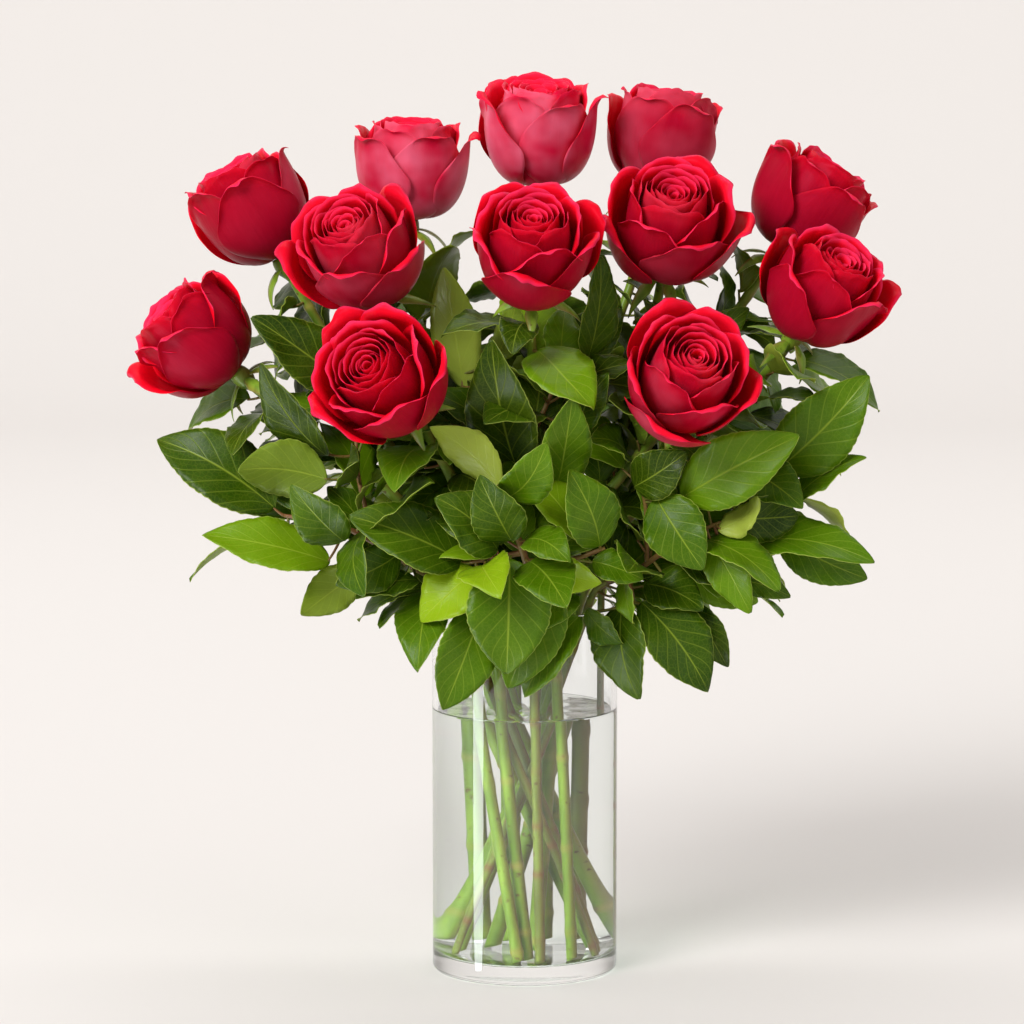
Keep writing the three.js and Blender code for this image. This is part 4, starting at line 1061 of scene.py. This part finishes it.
def petal_grid(p, u, v, seed):
    """Flat piece, corners rolled back, bent crosswise round the axis and lengthwise along the meridian."""
    middle_r = meridian(p, p["long"] * v)[0]
    wide = p["half"] * np.sin(np.pi * (0.06 + (0.46 + 0.2 * p["t"]) * v)) ** 1.15
    x = u * np.minimum(wide, 2.6 * middle_r * p["wrap"])
    tip = 2.0 * p["t"] * v ** 6 * np.exp(-(u / 0.13) ** 2)
    y = p["long"] * v * (1 - p["drop"] * np.abs(u) ** 1.9 * v) + tip
    c, s = math.cos(p["slope"]), math.sin(p["slope"])
    across = np.abs(x)
    near = np.hypot(x, p["soft"])
    past = np.maximum((near - p["soft"]) * c + y * s - p["fold"], 0)
    bend = np.minimum(past / p["roll"], 2.5)
    lost = past - p["roll"] * np.sin(bend)
    back = p["roll"] * (1 - np.cos(bend))
    across = np.maximum(0, across - lost * c * across / np.maximum(near, 1e-6))
    y = y - lost * s
    r, z, out = meridian(p, y)
    ring = np.maximum(r * p["wrap"], 1.5)
    angle = across / ring
    ripple = p["wave"] * v ** 3 * np.sin(3.1 * u + p["phase"])
    small = 0.5 * v ** 4 * np.sin(7 * u + seed) + 0.25 * v ** 6 * np.sin(16 * u + 2 * seed)
    ripple = ripple + small * min(p["t"] * 2, 1)
    lift = back + ripple + 0.04 * r * u - ring * (1 - np.cos(angle))
    radius = r + out[..., 0] * lift
    sideways = np.sign(x) * ring * np.sin(angle)
    cc, ss = math.cos(p["turn"]), math.sin(p["turn"])
    return np.stack([cc * radius - ss * sideways, ss * radius + cc * sideways, z + out[..., 1] * lift], -1)


def rose_frame(rose):
    """The rose's place and its three directions as rows: two across and its axis."""
    axis = unit(rose["facing"])
    across = unit(np.cross([0, 1, 0.01], axis))
    return np.array(rose["at"], float), np.array([across, np.cross(axis, across), axis])


# %% [markdown]
# ### The twelve roses
# The same rule makes all of them. Each is turned to the way it faces, and its petals are 0.4 mm thick
# at the foot and about 0.2 mm at the rim.

# %% build the roses
U = np.linspace(-1, 1, 29)[None, :]
V = np.linspace(0.02, 1, 23)[:, None]
for index, rose in enumerate(ROSES):
    at, axes = rose_frame(rose)
    petals = Parts()
    for i in range(PETALS_IN_ROSE):
        p = petal_shape(i, rose, index)
        grid = petal_grid(p, U + 0 * V, V + 0 * U, chance(i, index) * 9)
        thick = 0.2 - 0.11 * V ** 2 + 0 * U
        # the tone carries the rose's pinkness, which is partly painted sheen and painted light
        tone = rose["pink"] + 0.08 * chance(i + 5, index)
        add_sheet(petals, (at + grid @ axes)[:, ::-1], thick, U[:, ::-1] + 0 * V, V + 0 * U, tone)
    petals.mesh("rose_%02d_petals" % (index + 1), PETAL, "rose_%02d" % (index + 1), "petals")
print("petals per rose", PETALS_IN_ROSE)

# %% [markdown]
# ## Cups, sepals and rose stems
# Under the petals sits a green cup with five long pointed sepals that hang out and down. The cup is
# a rod with a waist, and each sepal is a strip that bends along an arc and is cut to a point.

# %% build the rose stems
def sepal_grid(rose, index, k, u, v):
    """A strip that leaves the cup and bends out and down along part of an arc, widest near its foot."""
    jog = chance(k + 7, index + 3)
    droop = math.radians(62 + 24 * chance(k + 11, index + 5))
    turn = math.radians(rose["turn"] + 72 * k + 10 * jog)
    long = 27 + 6 * jog
    bend = droop * v
    reach = 3.5 + long * np.sin(bend) / droop
    z = -4.5 - long * (1 - np.cos(bend)) / droop
    wide = np.where(v < 0.35, 1.2 + 2.4 * v / 0.35, 3.6 * (1 - v) / 0.65 + 0.15)
    sideways = u * wide
    z = z - 0.35 * np.abs(u) * wide
    c, s = math.cos(turn), math.sin(turn)
    return np.stack([c * reach - s * sideways, s * reach + c * sideways, z], -1)


for index, rose in enumerate(ROSES):
    node = "rose_stem_%02d" % (index + 1)
    at, axes = rose_frame(rose)
    line = rose["line"]
    radii, scar = swollen(line, rose["stem"], 46, index)
    radii = radii * np.interp(np.arange(len(line)), [0, STRAIGHT + 20, len(line) - 1], [1, 1, 0.86])
    green = Parts()
    add_rod(green, line, radii, 14, scar, level_cut=1.1)
    under = 1.6 * rose["size"] - 0.4
    z = np.linspace(-12.5, under, 15)
    cup = np.interp(z, [-12.5, -10.5, -7, -3.5, -0.5, under], [2.6, 3.4, 5.3, 5.6, 5.3, 4.6])
    add_rod(green, at + z[:, None] * axes[2], cup, 20, 0.5)
    v, u = np.linspace(0, 1, 15)[:, None], np.linspace(-1, 1, 7)[None, :]
    for k in range(5):
        grid = at + sepal_grid(rose, index, k, u + 0 * v, v + 0 * u) @ axes
        add_sheet(green, grid[:, ::-1], 0.28 - 0.12 * v + 0 * u, u + 0 * v, 0 * v + 0 * u, 0.5)
    green.mesh(node + "_green", GREEN_STEM, node, "rose_green")
print("rose stems", len(ROSES))

# %% [markdown]
# ## Stage, light and camera
# The stage is matt pale paper, a floor that runs up into a wall in one bend. A large soft light stands
# at the left front and above, a weak one fills from the right, and a wide one lights the wall. The
# surrounding is pale and even.

# %% stage
def stage_material():
    """Paper that scatters all light and mirrors none."""
    m, add = make_material("matt pale paper")
    shader = add("BsdfPrincipled", Base_Color=linear("DDD9D6"), Roughness=0.9, Specular_IOR_Level=0.0)
    add("OutputMaterial", shader)
    return m


bend = np.linspace(0, np.pi / 2, 13)
sweep = [[2.8 + 1.0 * math.sin(a), 1.0 - 1.0 * math.cos(a)] for a in bend]
sweep = [[-12.0, 0.0]] + sweep + [[3.8, 3.4]]
points = [[x, y, z - 0.0002] for y, z in sweep for x in (-12.0, 12.0)]
faces = [[2 * k, 2 * k + 1, 2 * k + 3, 2 * k + 2] for k in range(len(sweep) - 1)]
backdrop = show("backdrop", listed_mesh("backdrop", points, faces), stage_material())


def soft_light(name, place, aim, size, watts):
    """A rectangular area light at a place, turned to its aim."""
    light = bpy.data.lights.new(name, "AREA")
    light.shape = "RECTANGLE"
    light.size, light.size_y = size
    light.energy = watts
    obj = bpy.data.objects.new(name, light)
    obj.location = place
    way = np.array(aim, float) - np.array(place, float)
    flat = math.hypot(way[0], way[1])
    obj.rotation_euler = (math.atan2(flat, -way[2]), 0, math.atan2(-way[0], way[1]))
    bpy.context.scene.collection.objects.link(obj)


soft_light("key", (-1.5, -2.1, 1.9), (0, 0, 0.28), (1.3, 1.3), 86)
soft_light("fill", (2.0, -1.6, 1.2), (0, 0, 0.28), (1.6, 1.6), 8)
soft_light("wall", (0, 1.4, 2.9), (0, 2.9, 0.1), (9.0, 1.2), 105)
print("lights", len(bpy.data.lights))

# %% [markdown]
# ### Bright strip on the glass
# The real vase mirrors a bright window as an upright strip. A glowing wedge lies on the floor here and
# only mirrors show it. The vase's wall stretches it into such a strip, and nothing else is lit by it.

# %% strip card
near, far = np.array([-0.025, -0.044]), 1.5
ways = [np.array([math.cos(math.radians(a)), math.sin(math.radians(a))]) for a in (202.5, 217.5)]
corners = [near + w * d for w, d in ((ways[0], 0.03), (ways[0], far), (ways[1], far), (ways[1], 0.03))]
GLOW, add = make_material("glowing strip")
add("OutputMaterial", add("Emission", Color=linear("F4F6FF"), Strength=13.0))
card = show("strip_card", listed_mesh("strip_card", [[*c, 0.0004] for c in corners], [[0, 1, 2, 3]]), GLOW)
for rays in ("camera", "diffuse", "transmission", "shadow"):
    setattr(card, "visible_" + rays, False)
print("strip card reaches", far, "m from the vase")

# %% surrounding
world = bpy.data.worlds.new("pale room")
world.use_nodes = True
air = world.node_tree.nodes["Background"]
air.inputs["Color"].default_value = linear("F6F3F0")
air.inputs["Strength"].default_value = 0.52
bpy.context.scene.world = world

# %% [markdown]
# ### Camera
# A long lens from 2.4 m, a little above the roses, looks down by seven degrees, as in the front view.
# The plain view transform keeps the colours as they are given.

# %% camera
camera = bpy.data.objects.new("camera", bpy.data.cameras.new("camera"))
camera.data.lens = 155.2
camera.data.sensor_width = 36
camera.location = (-0.007, -2.4, 0.561)
camera.rotation_euler = (math.radians(90 - 7.29), 0, 0)
bpy.context.scene.collection.objects.link(camera)
bpy.context.scene.camera = camera
bpy.context.scene.view_settings.view_transform = "Standard"
